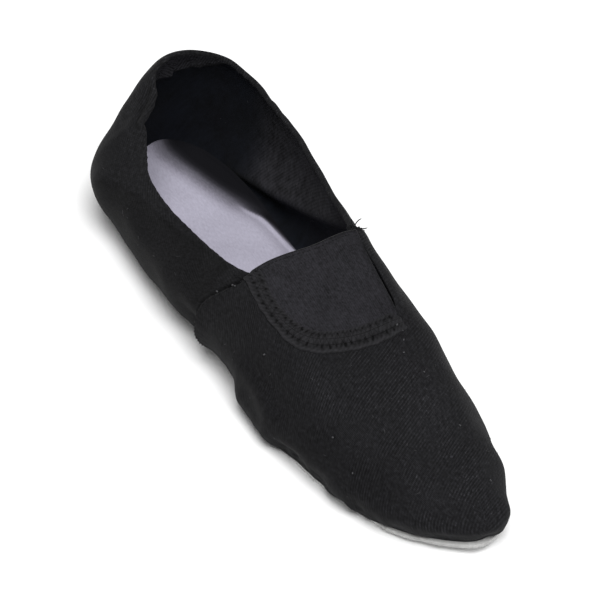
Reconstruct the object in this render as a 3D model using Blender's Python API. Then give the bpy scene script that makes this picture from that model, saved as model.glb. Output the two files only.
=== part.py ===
# Gymnastics slipper, right foot: canvas upper, elastic gore, insole, suede sole.
# Metres, +X to the toe, +Y to the inner (medial) side, +Z up.
import bpy
import bmesh
import numpy as np

for old in list(bpy.data.objects):
    bpy.data.objects.remove(old, do_unlink=True)

MM = 0.001

# ---- sizes of the last ---------------------------------------------------
LENGTH = 240.0 * MM          # sole, heel end to toe end
BALL_WIDTH = 80.0 * MM       # nominal width across the ball
INSTEP_HEIGHT = 52.0 * MM    # ridge height at the back edge of the gore
HEEL_HEIGHT = 59.5 * MM      # collar height at the back of the heel

# ---- sole ----------------------------------------------------------------
SOLE_THICK = 2.0 * MM
ARCH_LIFT = 1.4 * MM         # rise of the sole under the arch
ARCH_SPAN = (0.28, 0.66)     # shares of the length
TOE_SPRING = 3.0 * MM        # rise of the sole at the toe end
SPRING_START = 0.86          # share of the length

# ---- insole, cloth and gore ---------------------------------------------
INSOLE_THICK = 2.0 * MM
INSOLE_INSET = 2.4 * MM      # in from the edge of the sole
WALL = 1.4 * MM              # canvas and lining together
GORE_THICK = 1.2 * MM
GAP = 0.3 * MM               # between neighbouring pieces
EDGE_INSET = 0.5 * MM        # cloth edge in from the edge of the sole

# ---- places on the last --------------------------------------------------
# Heights on the last run from 0 (sole edge) to 1 (ridge of the vamp).
V_TURN, V_BELLY, V_RIM = 0.13, 0.36, 0.70
GORE_BACK, GORE_FRONT = 0.512, 0.672       # shares of the length, on the ridge
GORE_V = {1: 0.75, -1: 0.693}              # where the gore's sides start
GORE_LEAN = {1: 0.055, -1: -0.075}          # how far they close in to the front
GORE_ROUND = {1: 6.0, -1: 2.8}             # squareness of the front corners
TURN_SHARE = {1: 0.55, -1: 0.62}           # belly spread reached low down
TURN_RISE = 3.2 * MM

# ---- ends of the last ----------------------------------------------------
HEEL_END, TOE_START = 0.26, 0.78           # shares of the length
BELLY_BACK, BELLY_FORE = -5.0 * MM, 1.8 * MM
RIM_BACK, RIM_FORE = 3.0 * MM, -12.5 * MM
RIDGE_BACK, RIDGE_FORE = 34.0 * MM, -28.0 * MM

# ---- facets --------------------------------------------------------------
COLLAR_COLS, GORE_COLS, VAMP_COLS = 26, 14, 14
WALL_ROWS = 16
PLATE_RIBS, PLATE_CELLS = 44, 6
GORE_ROWS = 8

# One row per section of the last, in percent: s of LENGTH; heights belly_z and
# ridge_z of INSTEP_HEIGHT; rim heights of HEEL_HEIGHT; the rest of BALL_WIDTH,
# measured from the middle line. "in" is the medial half, "out" the lateral.
COLUMNS = ("s", "mid_y", "sole_in", "sole_out", "belly_in", "belly_out",
           "belly_z", "top_in", "top_out", "rim_in", "rim_out", "ridge_z")
SECTIONS = (
    (0, 0.0, 0.0, 0.0, 0.0, 0.0, 46.2, 0.0, 0.0, 100.0, 100.0, 119.2),
    (3.45, 0.0, 16.5, 16.5, 20.0, 32.5, 46.2, 18.1, 18.0, 98.3, 96.1, 119.2),
    (10.8, 0.0, 26.2, 26.2, 33.8, 54.4, 44.2, 29.5, 35.0, 90.8, 75.0, 115.4),
    (20.7, -0.4, 29.5, 29.5, 37.8, 59.4, 42.3, 32.5, 42.0, 84.7, 62.2, 107.7),
    (31.5, -1.5, 30.0, 30.8, 38.5, 57.5, 40.4, 31.2, 42.0, 83.0, 58.8, 101.9),
    (41.4, -3.0, 32.8, 33.8, 40.2, 52.5, 38.5, 28.5, 38.2, 84.9, 63.9, 98.1),
    (51.2, -4.2, 37.5, 37.8, 43.5, 48.8, 36.5, 27.0, 33.2, 89.1, 77.6, 100.0),
    (59.1, -1.0, 42.0, 41.5, 46.5, 48.5, 34.6, 26.7, 32.2, 79.0, 71.3, 87.7),
    (67, 2.2, 45.5, 45.0, 48.2, 49.7, 31.7, 27.5, 31.9, 65.2, 61.0, 74.8),
    (75, 5.0, 46.0, 45.5, 47.0, 49.5, 28.8, 27.5, 31.0, 51.8, 50.8, 62.7),
    (84, 7.5, 40.0, 40.5, 40.5, 44.5, 26.9, 24.5, 26.5, 42.7, 42.2, 52.7),
    (92.5, 10.2, 27.2, 28.8, 28.0, 32.8, 25.4, 16.5, 17.5, 36.6, 36.3, 46.2),
    (97.7, 13.0, 13.5, 14.8, 14.0, 17.5, 25.0, 8.0, 8.2, 33.6, 33.4, 43.5),
    (100, 14.2, 0.0, 0.0, 0.0, 0.0, 25.0, 0.0, 0.0, 32.6, 32.6, 42.5),
)
UNIT = {"s": 1.0, "belly_z": INSTEP_HEIGHT, "ridge_z": INSTEP_HEIGHT,
        "rim_in": HEEL_HEIGHT, "rim_out": HEEL_HEIGHT}
SECTION = {name: np.array([row[k] for row in SECTIONS]) * 0.01
           * UNIT.get(name, BALL_WIDTH) for k, name in enumerate(COLUMNS)}


def sole_lift(x):
    """Height of the underside of the sole at x."""
    s = np.asarray(x, float) / LENGTH
    span = ARCH_SPAN[1] - ARCH_SPAN[0]
    arch = np.sin(np.pi * np.clip((s - ARCH_SPAN[0]) / span, 0, 1)) ** 2
    spring = np.clip((s - SPRING_START) / (1 - SPRING_START), 0, 1) ** 1.6
    return ARCH_LIFT * arch + TOE_SPRING * spring


def last_lines():
    """Sole edge, turn, belly and rim lines round the foot, and the ridge."""
    c = SECTION
    s, x = c["s"], c["s"] * LENGTH
    back = np.clip(1 - s / HEEL_END, 0, 1) ** 2
    fore = np.clip((s - TOE_START) / (1 - TOE_START), 0, 1) ** 1.15
    belly_x = BELLY_BACK * back + BELLY_FORE * fore
    rim_x = RIM_BACK * back + RIM_FORE * fore
    ridge_x = RIDGE_BACK * back ** 0.6 + RIDGE_FORE * fore
    edge_z = sole_lift(x) + SOLE_THICK + GAP
    halves = []
    for side, tag in ((1, "in"), (-1, "out")):
        sole, belly = c["sole_" + tag], c["belly_" + tag]
        turn = sole + TURN_SHARE[side] * (belly - sole)
        halves.append(np.stack([
            x, c["mid_y"] + side * sole, edge_z,
            x + 0.6 * belly_x, c["mid_y"] + side * turn, edge_z + TURN_RISE,
            x + belly_x, c["mid_y"] + side * belly, c["belly_z"],
            x + rim_x, c["mid_y"] + side * c["top_" + tag], c["rim_" + tag]], 1))
    ridge = np.stack([x + ridge_x, c["mid_y"], c["ridge_z"]], 1)
    return np.vstack([halves[0], halves[1][-2:0:-1]]), ridge


def spline_bends(u, y, closed):
    """Second derivatives of the cubic spline through y at u."""
    n = len(y)
    h = np.diff(u)
    m, r = np.eye(n), np.zeros_like(y)
    for i in range(0 if closed else 1, n if closed else n - 1):
        a, b = h[i - 1], h[i]
        m[i] = 0
        m[i, (i - 1) % n] += a / 6
        m[i, i] += (a + b) / 3
        m[i, (i + 1) % n] += b / 6
        r[i] = (y[(i + 1) % n] - y[i]) / b - (y[i] - y[i - 1]) / a
    bends = np.linalg.solve(m, r)
    return np.vstack([bends, bends[:1]]) if closed else bends


def spline_at(u, y, bends, q, slope=False):
    k = np.clip(np.searchsorted(u, q, side="right") - 1, 0, len(u) - 2)
    h = (u[k + 1] - u[k])[..., None]
    b = (q - u[k])[..., None] / h
    a = 1 - b
    if slope:
        return ((y[k + 1] - y[k]) / h
                + ((1 - 3 * a * a) * bends[k] + (3 * b * b - 1) * bends[k + 1]) * h / 6)
    return (a * y[k] + b * y[k + 1]
            + ((a ** 3 - a) * bends[k] + (b ** 3 - b) * bends[k + 1]) * h * h / 6)


LOOP, RIDGE = last_lines()
STATIONS = SECTION["s"]
LOOP_END = np.vstack([LOOP, LOOP[:1]])
LOOP_U = np.concatenate([[0], np.cumsum(np.sqrt(np.hypot(
    np.diff(LOOP_END[:, 0]), np.diff(LOOP_END[:, 1]))))])
LOOP_BENDS = spline_bends(LOOP_U, LOOP, True)
RIDGE_BENDS = spline_bends(STATIONS, RIDGE, False)


def loop_u(side, s):
    n = len(STATIONS)
    if side > 0:
        return np.interp(s, STATIONS, LOOP_U[:n])
    return np.interp(s, STATIONS, LOOP_U[n - 1:][::-1])


def sole_edge(side, s, inset=0.0):
    """Plan of the sole edge at stations s, moved in by inset."""
    u = loop_u(side, np.asarray(s, float))
    p = spline_at(LOOP_U, LOOP_END, LOOP_BENDS, u)[..., :2]
    t = spline_at(LOOP_U, LOOP_END, LOOP_BENDS, u, True)[..., :2]
    n = np.stack([t[..., 1], -t[..., 0]], -1)
    return p + inset * n / np.linalg.norm(n, axis=-1)[..., None]


def ridge_tilt(s):
    """Slope of the instep across the ridge, from the two rims."""
    rims = [spline_at(LOOP_U, LOOP_END, LOOP_BENDS, loop_u(k, s))[..., 10:12] for k in (1, -1)]
    wide, rise = np.moveaxis(rims[0] - rims[1], -1, 0)
    return wide * rise / (wide ** 2 + (4 * MM) ** 2)


def last_at(side, s, v):
    """Point of the last on one side, at station s and height v."""
    s, v = np.broadcast_arrays(np.asarray(s, float), np.asarray(v, float))
    q = spline_at(LOOP_U, LOOP_END, LOOP_BENDS, loop_u(side, s)).copy()
    q[..., 0:2] = sole_edge(side, s, EDGE_INSET)
    q[..., 2] = sole_lift(q[..., 0]) + SOLE_THICK + GAP
    q[..., 5] = sole_lift(q[..., 3]) + SOLE_THICK + GAP + TURN_RISE
    ridge = spline_at(STATIONS, RIDGE, RIDGE_BENDS, s)
    fall = spline_at(STATIONS, RIDGE, RIDGE_BENDS, s, True)
    knots = np.stack([q[..., 0:3], q[..., 3:6], q[..., 6:9], q[..., 9:12], ridge], -2)
    at = np.array([0, V_TURN, V_BELLY, V_RIM, 1.0])
    tangents = np.zeros_like(knots)
    for i in (1, 2, 3):
        h0, h1 = at[i] - at[i - 1], at[i + 1] - at[i]
        d0 = (knots[..., i, :] - knots[..., i - 1, :]) / h0
        d1 = (knots[..., i + 1, :] - knots[..., i, :]) / h1
        tangents[..., i, :] = (d0 * h1 + d1 * h0) / (h0 + h1)
    tangents[..., 0, :] = (1.6 * (knots[..., 1, :] - knots[..., 0, :]) / V_TURN
                           - 0.6 * tangents[..., 1, :])
    over = 1.2 * (ridge - knots[..., 3, :]) / (1 - V_RIM)
    along = over[..., 0] / fall[..., 0]
    across = over[..., 1] - along * fall[..., 1]
    over[..., 2] = along * fall[..., 2] + across * ridge_tilt(s)
    tangents[..., 4, :] = over
    k = np.clip(np.searchsorted(at, v, side="right") - 1, 0, 3)
    h = (at[k + 1] - at[k])[..., None]
    t = (v - at[k])[..., None] / h

    def pick(rows, i):
        return np.take_along_axis(rows, i[..., None, None], -2)[..., 0, :]
    return ((2 * t ** 3 - 3 * t ** 2 + 1) * pick(knots, k)
            + (t ** 3 - 2 * t ** 2 + t) * h * pick(tangents, k)
            + (3 * t ** 2 - 2 * t ** 3) * pick(knots, k + 1)
            + (t ** 3 - t ** 2) * h * pick(tangents, k + 1))


def even_stations(n):
    """Stations that cut the sole edge into n equal lengths."""
    fine = np.linspace(0, 1, 2001)
    p = sole_edge(1, fine)
    run = np.concatenate([[0], np.cumsum(np.linalg.norm(np.diff(p, axis=0), axis=1))])
    return np.interp(np.linspace(0, run[-1], n + 1), run, fine)


def gore_line(side, turn):
    """Station and height along the gore's side and front edge, turn 0 to 1."""
    angle = np.asarray(turn, float) * np.pi / 2
    power = 2.0 / GORE_ROUND[side]
    along = np.clip(np.sin(angle), 0, 1) ** power
    s = GORE_BACK + (GORE_FRONT - GORE_BACK) * along
    wide = 1 - GORE_V[side] - GORE_LEAN[side] * along
    return s, 1 - wide * np.clip(np.cos(angle), 0, 1) ** power


def gore_turns(side, n):
    """Steps of the gore line that are even in length."""
    fine = np.linspace(0, 1, 801)
    s, v = gore_line(side, fine)
    p = last_at(side, s, v)
    run = np.concatenate([[0], np.cumsum(np.linalg.norm(np.diff(p, axis=0), axis=1))])
    return np.interp(np.linspace(0, run[-1], n + 1), run, fine)


def collar_height(side, s):
    """Height of the collar edge on the last, rising to the gore's corner."""
    t = np.clip((s - (GORE_BACK - 0.05)) / 0.05, 0, 1)
    return V_RIM + (GORE_V[side] - V_RIM) * t * t * (3 - 2 * t)


def wall_columns(side):
    """Foot station, head station and head height of each column of the wall."""
    even = even_stations(400)
    edge = np.linspace(0, 1, 401)

    def spread(a, b, n, power=1.0):
        lo, hi = np.interp([a, b], even, edge)
        return np.interp(lo + (hi - lo) * np.linspace(0, 1, n + 1) ** power, edge, even)
    vamp_foot = GORE_FRONT + 0.085
    foot = np.concatenate([spread(0, GORE_BACK, COLLAR_COLS, 1.25)[:-1],
                           spread(GORE_BACK, vamp_foot, GORE_COLS)[:-1],
                           spread(vamp_foot, 1, VAMP_COLS)])
    s, v = gore_line(side, gore_turns(side, GORE_COLS))
    front = np.linspace(0, 1, VAMP_COLS + 1)
    head = np.concatenate([foot[:COLLAR_COLS], s[:-1],
                           GORE_FRONT + (1 - GORE_FRONT) * (1 - (1 - front) ** 1.3)])
    high = np.concatenate([collar_height(side, foot[:COLLAR_COLS]), v[:-1],
                           np.ones(VAMP_COLS + 1)])
    return foot, head, high


def facet_normals(verts, tris, given):
    """Normals averaged over the facets, except where one is given."""
    a, b, c = (verts[tris[:, k]] for k in range(3))
    face = np.cross(b - a, c - a)
    out = np.zeros_like(verts)
    for k in range(3):
        np.add.at(out, tris[:, k], face)
    for k, normal in given.items():
        out[k] = normal
    return out / np.linalg.norm(out, axis=1)[:, None]


def last_normal(side, s, v):
    """Outward normal of the last at points off the toe end."""
    fall = spline_at(STATIONS, RIDGE, RIDGE_BENDS, s, True)
    tilt = ridge_tilt(s)
    top = np.stack([fall[..., 1] * tilt - fall[..., 2], -fall[..., 0] * tilt, fall[..., 0]], -1)
    low = np.minimum(v, 0.985)
    up = last_at(side, s, low + 0.01) - last_at(side, s, low - 0.01)
    ahead = last_at(side, s + 0.004, low) - last_at(side, s - 0.004, low)
    out = side * np.cross(up, ahead)
    out = out / np.linalg.norm(out, axis=-1)[..., None]
    top = top / np.linalg.norm(top, axis=-1)[..., None]
    share = np.clip((v - 0.93) / 0.07, 0, 1)[..., None]
    return out * (1 - share) + top * share


def wall_sheet():
    """Outer face of the upper: points, triangles and its two open edges."""
    cols = COLLAR_COLS + GORE_COLS + VAMP_COLS
    open_cols = COLLAR_COLS + GORE_COLS
    rows = np.linspace(0, 1, WALL_ROWS + 1)
    ease = rows * rows * (3 - 2 * rows)
    verts, index, given = [], {}, {}
    for side in (1, -1):
        foot, head, high = wall_columns(side)
        normals = last_normal(side, head[:open_cols + 1], high[:open_cols + 1])
        s = foot[:, None] + (head - foot)[:, None] * ease[None]
        v = high[:, None] * rows[None]
        points = last_at(side, s, v)
        for i in range(cols + 1):
            for j in range(WALL_ROWS + 1):
                shared = i in (0, cols) or (j == WALL_ROWS and i >= open_cols)
                if side < 0 and shared:
                    index[side, i, j] = index[1, i, j]
                else:
                    index[side, i, j] = len(verts)
                    verts.append(points[i, j])
        for i in range(COLLAR_COLS, open_cols + 1):
            given[index[side, i, WALL_ROWS]] = normals[i]
    tris = []
    for side in (1, -1):
        for i in range(cols):
            for j in range(WALL_ROWS):
                quad = [index[side, i, j], index[side, i + 1, j],
                        index[side, i + 1, j + 1], index[side, i, j + 1]]
                if side > 0:
                    quad = quad[::-1]
                for tri in ((quad[0], quad[1], quad[2]), (quad[0], quad[2], quad[3])):
                    if len(set(tri)) == 3:
                        tris.append(tri)
    ring = ([index[1, i, 0] for i in range(cols + 1)]
            + [index[-1, i, 0] for i in range(cols - 1, 0, -1)])
    rim = ([index[1, i, WALL_ROWS] for i in range(open_cols + 1)]
           + [index[-1, i, WALL_ROWS] for i in range(open_cols - 1, 0, -1)])
    return np.array(verts), np.array(tris), [ring, rim], given


def shell(sheet, thick):
    """Closed wall between a sheet and its copy moved inwards by thick."""
    verts, tris, loops, given = sheet
    n = len(verts)
    inner = verts - thick * facet_normals(verts, tris, given)
    faces = [tuple(t) for t in tris] + [tuple(int(k) + n for k in t[::-1]) for t in tris]
    edges = {(int(a), int(b)) for t in tris for a, b in zip(t, np.roll(t, -1))}
    for loop in loops:
        for a, b in zip(loop, loop[1:] + loop[:1]):
            if (a, b) not in edges:
                a, b = b, a
            faces += [(b, a, a + n), (b, a + n, b + n)]
    return np.vstack([verts, inner]), faces


def plate(inset, under, thick):
    """Flat piece with the sole's outline, lying along the sole's rise."""
    s = even_stations(PLATE_RIBS)
    left, right = sole_edge(1, s, inset), sole_edge(-1, s, inset)
    share = np.linspace(0, 1, PLATE_CELLS + 1)
    verts, index = [], {}
    for face, height in ((0, under), (1, under + thick)):
        for i in range(PLATE_RIBS + 1):
            for k, w in enumerate(share):
                if i in (0, PLATE_RIBS) and k:
                    index[face, i, k] = index[face, i, 0]
                    continue
                x, y = left[i] + (right[i] - left[i]) * w
                index[face, i, k] = len(verts)
                verts.append((x, y, float(sole_lift(x)) + height))
    faces = []

    def quad(a, b, c, d):
        for tri in ((a, b, c), (a, c, d)):
            if len(set(tri)) == 3:
                faces.append(tri)
    for i in range(PLATE_RIBS):
        for k in range(PLATE_CELLS):
            for face in (0, 1):
                ring = [index[face, i, k], index[face, i, k + 1],
                        index[face, i + 1, k + 1], index[face, i + 1, k]]
                quad(*(ring if face else ring[::-1]))
        for k, flip in ((0, False), (PLATE_CELLS, True)):
            ring = [index[0, i, k], index[1, i, k], index[1, i + 1, k], index[0, i + 1, k]]
            quad(*(ring[::-1] if flip else ring))
    return np.array(verts), faces


def gore_sheet():
    """Outer face of the gore, its sides a gap away from the throat."""
    verts, index, given = [], {}, {}
    share = np.linspace(0, 1, GORE_ROWS + 1)
    for side in (1, -1):
        turn = gore_turns(side, GORE_COLS)
        s0, v0 = gore_line(side, turn)
        edge = last_at(side, s0, v0)
        along = np.gradient(edge, axis=0)
        normals = last_normal(side, s0, v0)
        inward = np.cross(normals, along)
        middle = last_at(side, np.full(len(s0), GORE_BACK + 0.4 * (GORE_FRONT - GORE_BACK)),
                         np.full(len(s0), 0.97))
        inward *= np.sign((inward * (middle - edge)).sum(1))[:, None]
        inward /= np.linalg.norm(inward, axis=1)[:, None]
        inward[-1] = (-1, 0, 0)
        ridge_s = GORE_BACK + (GORE_FRONT - GORE_BACK) * np.linspace(0, 1, GORE_COLS + 1) ** 0.9
        for i in range(GORE_COLS + 1):
            s = s0[i] + (ridge_s[i] - s0[i]) * share
            v = v0[i] + (1 - v0[i]) * share
            points = last_at(side, s, v)
            fade = (1 - share) ** 3
            points = points + 1.15 * GAP * inward[i] * fade[:, None]
            if i == GORE_COLS:
                points[:] = edge[-1] + 1.15 * GAP * inward[-1]
            for j in range(GORE_ROWS + 1):
                if i == GORE_COLS and (j or side < 0):
                    index[side, i, j] = index[1, i, 0]
                elif side < 0 and j == GORE_ROWS:
                    index[side, i, j] = index[1, i, j]
                else:
                    index[side, i, j] = len(verts)
                    verts.append(points[j])
            given[index[side, i, 0]] = normals[i]
    tris = []
    for side in (1, -1):
        for i in range(GORE_COLS):
            for j in range(GORE_ROWS):
                quad = [index[side, i, j], index[side, i + 1, j],
                        index[side, i + 1, j + 1], index[side, i, j + 1]]
                if side > 0:
                    quad = quad[::-1]
                for tri in ((quad[0], quad[1], quad[2]), (quad[0], quad[2], quad[3])):
                    if len(set(tri)) == 3:
                        tris.append(tri)
    loop = ([index[1, i, 0] for i in range(GORE_COLS + 1)]
            + [index[-1, i, 0] for i in range(GORE_COLS - 1, -1, -1)]
            + [index[-1, 0, j] for j in range(1, GORE_ROWS + 1)]
            + [index[1, 0, j] for j in range(GORE_ROWS - 1, 0, -1)])
    return np.array(verts), np.array(tris), [loop], given


def matte(name, colour, roughness):
    mat = bpy.data.materials.new(name)
    mat.use_nodes = True
    node = mat.node_tree.nodes["Principled BSDF"]
    node.inputs["Base Color"].default_value = (*colour, 1.0)
    node.inputs["Roughness"].default_value = roughness
    node.inputs["Metallic"].default_value = 0.0
    return mat


def piece(name, verts, faces, mat):
    mesh = bpy.data.meshes.new(name)
    bm = bmesh.new()
    points = [bm.verts.new(p) for p in verts]
    for face in faces:
        bm.faces.new([points[k] for k in face])
    bmesh.ops.recalc_face_normals(bm, faces=bm.faces[:])
    if bm.calc_volume(signed=True) < 0:
        bmesh.ops.reverse_faces(bm, faces=bm.faces[:])
    bm.to_mesh(mesh)
    bm.free()
    mesh.materials.append(mat)
    obj = bpy.data.objects.new(name, mesh)
    bpy.context.collection.objects.link(obj)
    return obj


solids = {
    "outsole": plate(0.0, 0.0, SOLE_THICK),
    "insole": plate(INSOLE_INSET, SOLE_THICK + GAP, INSOLE_THICK),
    "upper": shell(wall_sheet(), WALL),
    "elastic_gore": shell(gore_sheet(), GORE_THICK),
}
looks = {
    "outsole": matte("grey_suede", (0.52, 0.52, 0.51), 0.95),
    "insole": matte("pale_felt", (0.50, 0.47, 0.60), 0.9),
    "upper": matte("black_canvas", (0.012, 0.012, 0.013), 0.9),
    "elastic_gore": matte("black_elastic", (0.014, 0.014, 0.017), 0.6),
}

# Origin at the bottom centre of the whole shoe.
low = np.min([v.min(0) for v, f in solids.values()], axis=0)
high = np.max([v.max(0) for v, f in solids.values()], axis=0)
origin = np.array([(low[0] + high[0]) / 2, (low[1] + high[1]) / 2, low[2]])
for name, (verts, faces) in solids.items():
    piece(name, verts - origin, faces, looks[name])
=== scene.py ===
import bpy
import numpy as np
from mathutils import Matrix, Vector


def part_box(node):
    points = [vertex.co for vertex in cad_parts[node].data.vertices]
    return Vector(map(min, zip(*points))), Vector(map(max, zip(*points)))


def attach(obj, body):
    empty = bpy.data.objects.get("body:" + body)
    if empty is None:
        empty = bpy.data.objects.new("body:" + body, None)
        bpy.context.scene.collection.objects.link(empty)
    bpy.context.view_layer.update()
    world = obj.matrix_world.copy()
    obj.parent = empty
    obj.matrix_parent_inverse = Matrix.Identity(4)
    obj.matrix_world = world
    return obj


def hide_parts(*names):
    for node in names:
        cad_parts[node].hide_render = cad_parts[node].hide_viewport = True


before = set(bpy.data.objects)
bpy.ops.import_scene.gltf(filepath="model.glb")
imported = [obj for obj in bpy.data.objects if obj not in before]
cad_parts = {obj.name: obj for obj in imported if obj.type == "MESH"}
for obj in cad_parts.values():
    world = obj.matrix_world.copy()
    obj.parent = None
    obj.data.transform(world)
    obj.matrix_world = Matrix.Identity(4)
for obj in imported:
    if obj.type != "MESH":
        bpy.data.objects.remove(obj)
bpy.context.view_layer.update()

MM = 0.001
RNG = np.random.default_rng(7)

# =====================================================================
# The last: same sizes and sections as the solids
# =====================================================================
LENGTH = 240.0 * MM
BALL_WIDTH = 80.0 * MM
INSTEP_HEIGHT = 52.0 * MM
HEEL_HEIGHT = 59.5 * MM
SOLE_THICK = 2.0 * MM
ARCH_LIFT = 1.4 * MM
ARCH_SPAN = (0.28, 0.66)
TOE_SPRING = 3.0 * MM
SPRING_START = 0.86
INSOLE_THICK = 2.0 * MM
WALL = 1.4 * MM
GORE_THICK = 1.2 * MM
GAP = 0.3 * MM
EDGE_INSET = 0.5 * MM
V_TURN, V_BELLY, V_RIM = 0.13, 0.36, 0.70
GORE_BACK, GORE_FRONT = 0.512, 0.672
GORE_V = {1: 0.75, -1: 0.693}
GORE_LEAN = {1: 0.033, -1: -0.075}
GORE_ROUND = {1: 6.0, -1: 2.8}
TURN_SHARE = {1: 0.55, -1: 0.62}
TURN_RISE = 3.2 * MM
HEEL_END, TOE_START = 0.26, 0.78
BELLY_BACK, BELLY_FORE = -5.0 * MM, 1.8 * MM
RIM_BACK, RIM_FORE = 3.0 * MM, -12.5 * MM
RIDGE_BACK, RIDGE_FORE = 34.0 * MM, -28.0 * MM

COLUMNS = ("s", "mid_y", "sole_in", "sole_out", "belly_in", "belly_out",
           "belly_z", "top_in", "top_out", "rim_in", "rim_out", "ridge_z")
SECTIONS = (
    (0, 0.0, 0.0, 0.0, 0.0, 0.0, 46.2, 0.0, 0.0, 100.0, 100.0, 119.2),
    (3.45, 0.0, 16.5, 16.5, 20.0, 32.5, 46.2, 18.1, 18.0, 98.3, 96.1, 119.2),
    (10.8, 0.0, 26.2, 26.2, 33.8, 54.4, 44.2, 29.5, 35.0, 90.8, 75.0, 115.4),
    (20.7, -0.4, 29.5, 29.5, 37.8, 59.4, 42.3, 32.5, 42.0, 84.7, 62.2, 107.7),
    (31.5, -1.5, 30.0, 30.8, 38.5, 57.5, 40.4, 31.2, 42.0, 83.0, 58.8, 101.9),
    (41.4, -3.0, 32.8, 33.8, 40.2, 52.5, 38.5, 28.5, 38.2, 84.9, 63.9, 98.1),
    (51.2, -4.2, 37.5, 37.8, 43.5, 48.8, 36.5, 27.0, 33.2, 89.1, 77.6, 100.0),
    (59.1, -1.0, 42.0, 41.5, 46.5, 48.5, 34.6, 26.7, 32.2, 79.0, 71.3, 87.7),
    (67, 2.2, 45.5, 45.0, 48.2, 49.7, 31.7, 27.5, 31.9, 65.2, 61.0, 74.8),
    (75, 5.0, 46.0, 45.5, 47.0, 49.5, 28.8, 27.5, 31.0, 51.8, 50.8, 62.7),
    (84, 7.5, 40.0, 40.5, 40.5, 44.5, 26.9, 24.5, 26.5, 42.7, 42.2, 52.7),
    (92.5, 10.2, 27.2, 28.8, 28.0, 32.8, 25.4, 16.5, 17.5, 36.6, 36.3, 46.2),
    (97.7, 13.0, 13.5, 14.8, 14.0, 17.5, 25.0, 8.0, 8.2, 33.6, 33.4, 43.5),
    (100, 14.2, 0.0, 0.0, 0.0, 0.0, 25.0, 0.0, 0.0, 32.6, 32.6, 42.5),
)
UNIT = {"s": 1.0, "belly_z": INSTEP_HEIGHT, "ridge_z": INSTEP_HEIGHT,
        "rim_in": HEEL_HEIGHT, "rim_out": HEEL_HEIGHT}
SECTION = {name: np.array([row[k] for row in SECTIONS]) * 0.01
           * UNIT.get(name, BALL_WIDTH) for k, name in enumerate(COLUMNS)}


def sole_lift(x):
    s = np.asarray(x, float) / LENGTH
    span = ARCH_SPAN[1] - ARCH_SPAN[0]
    arch = np.sin(np.pi * np.clip((s - ARCH_SPAN[0]) / span, 0, 1)) ** 2
    spring = np.clip((s - SPRING_START) / (1 - SPRING_START), 0, 1) ** 1.6
    return ARCH_LIFT * arch + TOE_SPRING * spring


def last_lines():
    c = SECTION
    s, x = c["s"], c["s"] * LENGTH
    back = np.clip(1 - s / HEEL_END, 0, 1) ** 2
    fore = np.clip((s - TOE_START) / (1 - TOE_START), 0, 1) ** 1.15
    belly_x = BELLY_BACK * back + BELLY_FORE * fore
    rim_x = RIM_BACK * back + RIM_FORE * fore
    ridge_x = RIDGE_BACK * back ** 0.6 + RIDGE_FORE * fore
    edge_z = sole_lift(x) + SOLE_THICK + GAP
    halves = []
    for side, tag in ((1, "in"), (-1, "out")):
        sole, belly = c["sole_" + tag], c["belly_" + tag]
        turn = sole + TURN_SHARE[side] * (belly - sole)
        halves.append(np.stack([
            x, c["mid_y"] + side * sole, edge_z,
            x + 0.6 * belly_x, c["mid_y"] + side * turn, edge_z + TURN_RISE,
            x + belly_x, c["mid_y"] + side * belly, c["belly_z"],
            x + rim_x, c["mid_y"] + side * c["top_" + tag], c["rim_" + tag]], 1))
    ridge = np.stack([x + ridge_x, c["mid_y"], c["ridge_z"]], 1)
    return np.vstack([halves[0], halves[1][-2:0:-1]]), ridge


def spline_bends(u, y, closed):
    n = len(y)
    h = np.diff(u)
    m, r = np.eye(n), np.zeros_like(y)
    for i in range(0 if closed else 1, n if closed else n - 1):
        a, b = h[i - 1], h[i]
        m[i] = 0
        m[i, (i - 1) % n] += a / 6
        m[i, i] += (a + b) / 3
        m[i, (i + 1) % n] += b / 6
        r[i] = (y[(i + 1) % n] - y[i]) / b - (y[i] - y[i - 1]) / a
    bends = np.linalg.solve(m, r)
    return np.vstack([bends, bends[:1]]) if closed else bends


def spline_at(u, y, bends, q, slope=False):
    k = np.clip(np.searchsorted(u, q, side="right") - 1, 0, len(u) - 2)
    h = (u[k + 1] - u[k])[..., None]
    b = (q - u[k])[..., None] / h
    a = 1 - b
    if slope:
        return ((y[k + 1] - y[k]) / h
                + ((1 - 3 * a * a) * bends[k] + (3 * b * b - 1) * bends[k + 1]) * h / 6)
    return (a * y[k] + b * y[k + 1]
            + ((a ** 3 - a) * bends[k] + (b ** 3 - b) * bends[k + 1]) * h * h / 6)


LOOP, RIDGE = last_lines()
STATIONS = SECTION["s"]
LOOP_END = np.vstack([LOOP, LOOP[:1]])
LOOP_U = np.concatenate([[0], np.cumsum(np.sqrt(np.hypot(
    np.diff(LOOP_END[:, 0]), np.diff(LOOP_END[:, 1]))))])
LOOP_BENDS = spline_bends(LOOP_U, LOOP, True)
RIDGE_BENDS = spline_bends(STATIONS, RIDGE, False)


def loop_u(side, s):
    n = len(STATIONS)
    if side > 0:
        return np.interp(s, STATIONS, LOOP_U[:n])
    return np.interp(s, STATIONS, LOOP_U[n - 1:][::-1])


def sole_edge(side, s, inset=0.0):
    u = loop_u(side, np.asarray(s, float))
    p = spline_at(LOOP_U, LOOP_END, LOOP_BENDS, u)[..., :2]
    t = spline_at(LOOP_U, LOOP_END, LOOP_BENDS, u, True)[..., :2]
    n = np.stack([t[..., 1], -t[..., 0]], -1)
    inset = np.asarray(inset, float)
    return p + inset[..., None] * n / np.linalg.norm(n, axis=-1)[..., None]


def ridge_tilt(s):
    rims = [spline_at(LOOP_U, LOOP_END, LOOP_BENDS, loop_u(k, s))[..., 10:12] for k in (1, -1)]
    wide, rise = np.moveaxis(rims[0] - rims[1], -1, 0)
    return wide * rise / (wide ** 2 + (4 * MM) ** 2)


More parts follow.
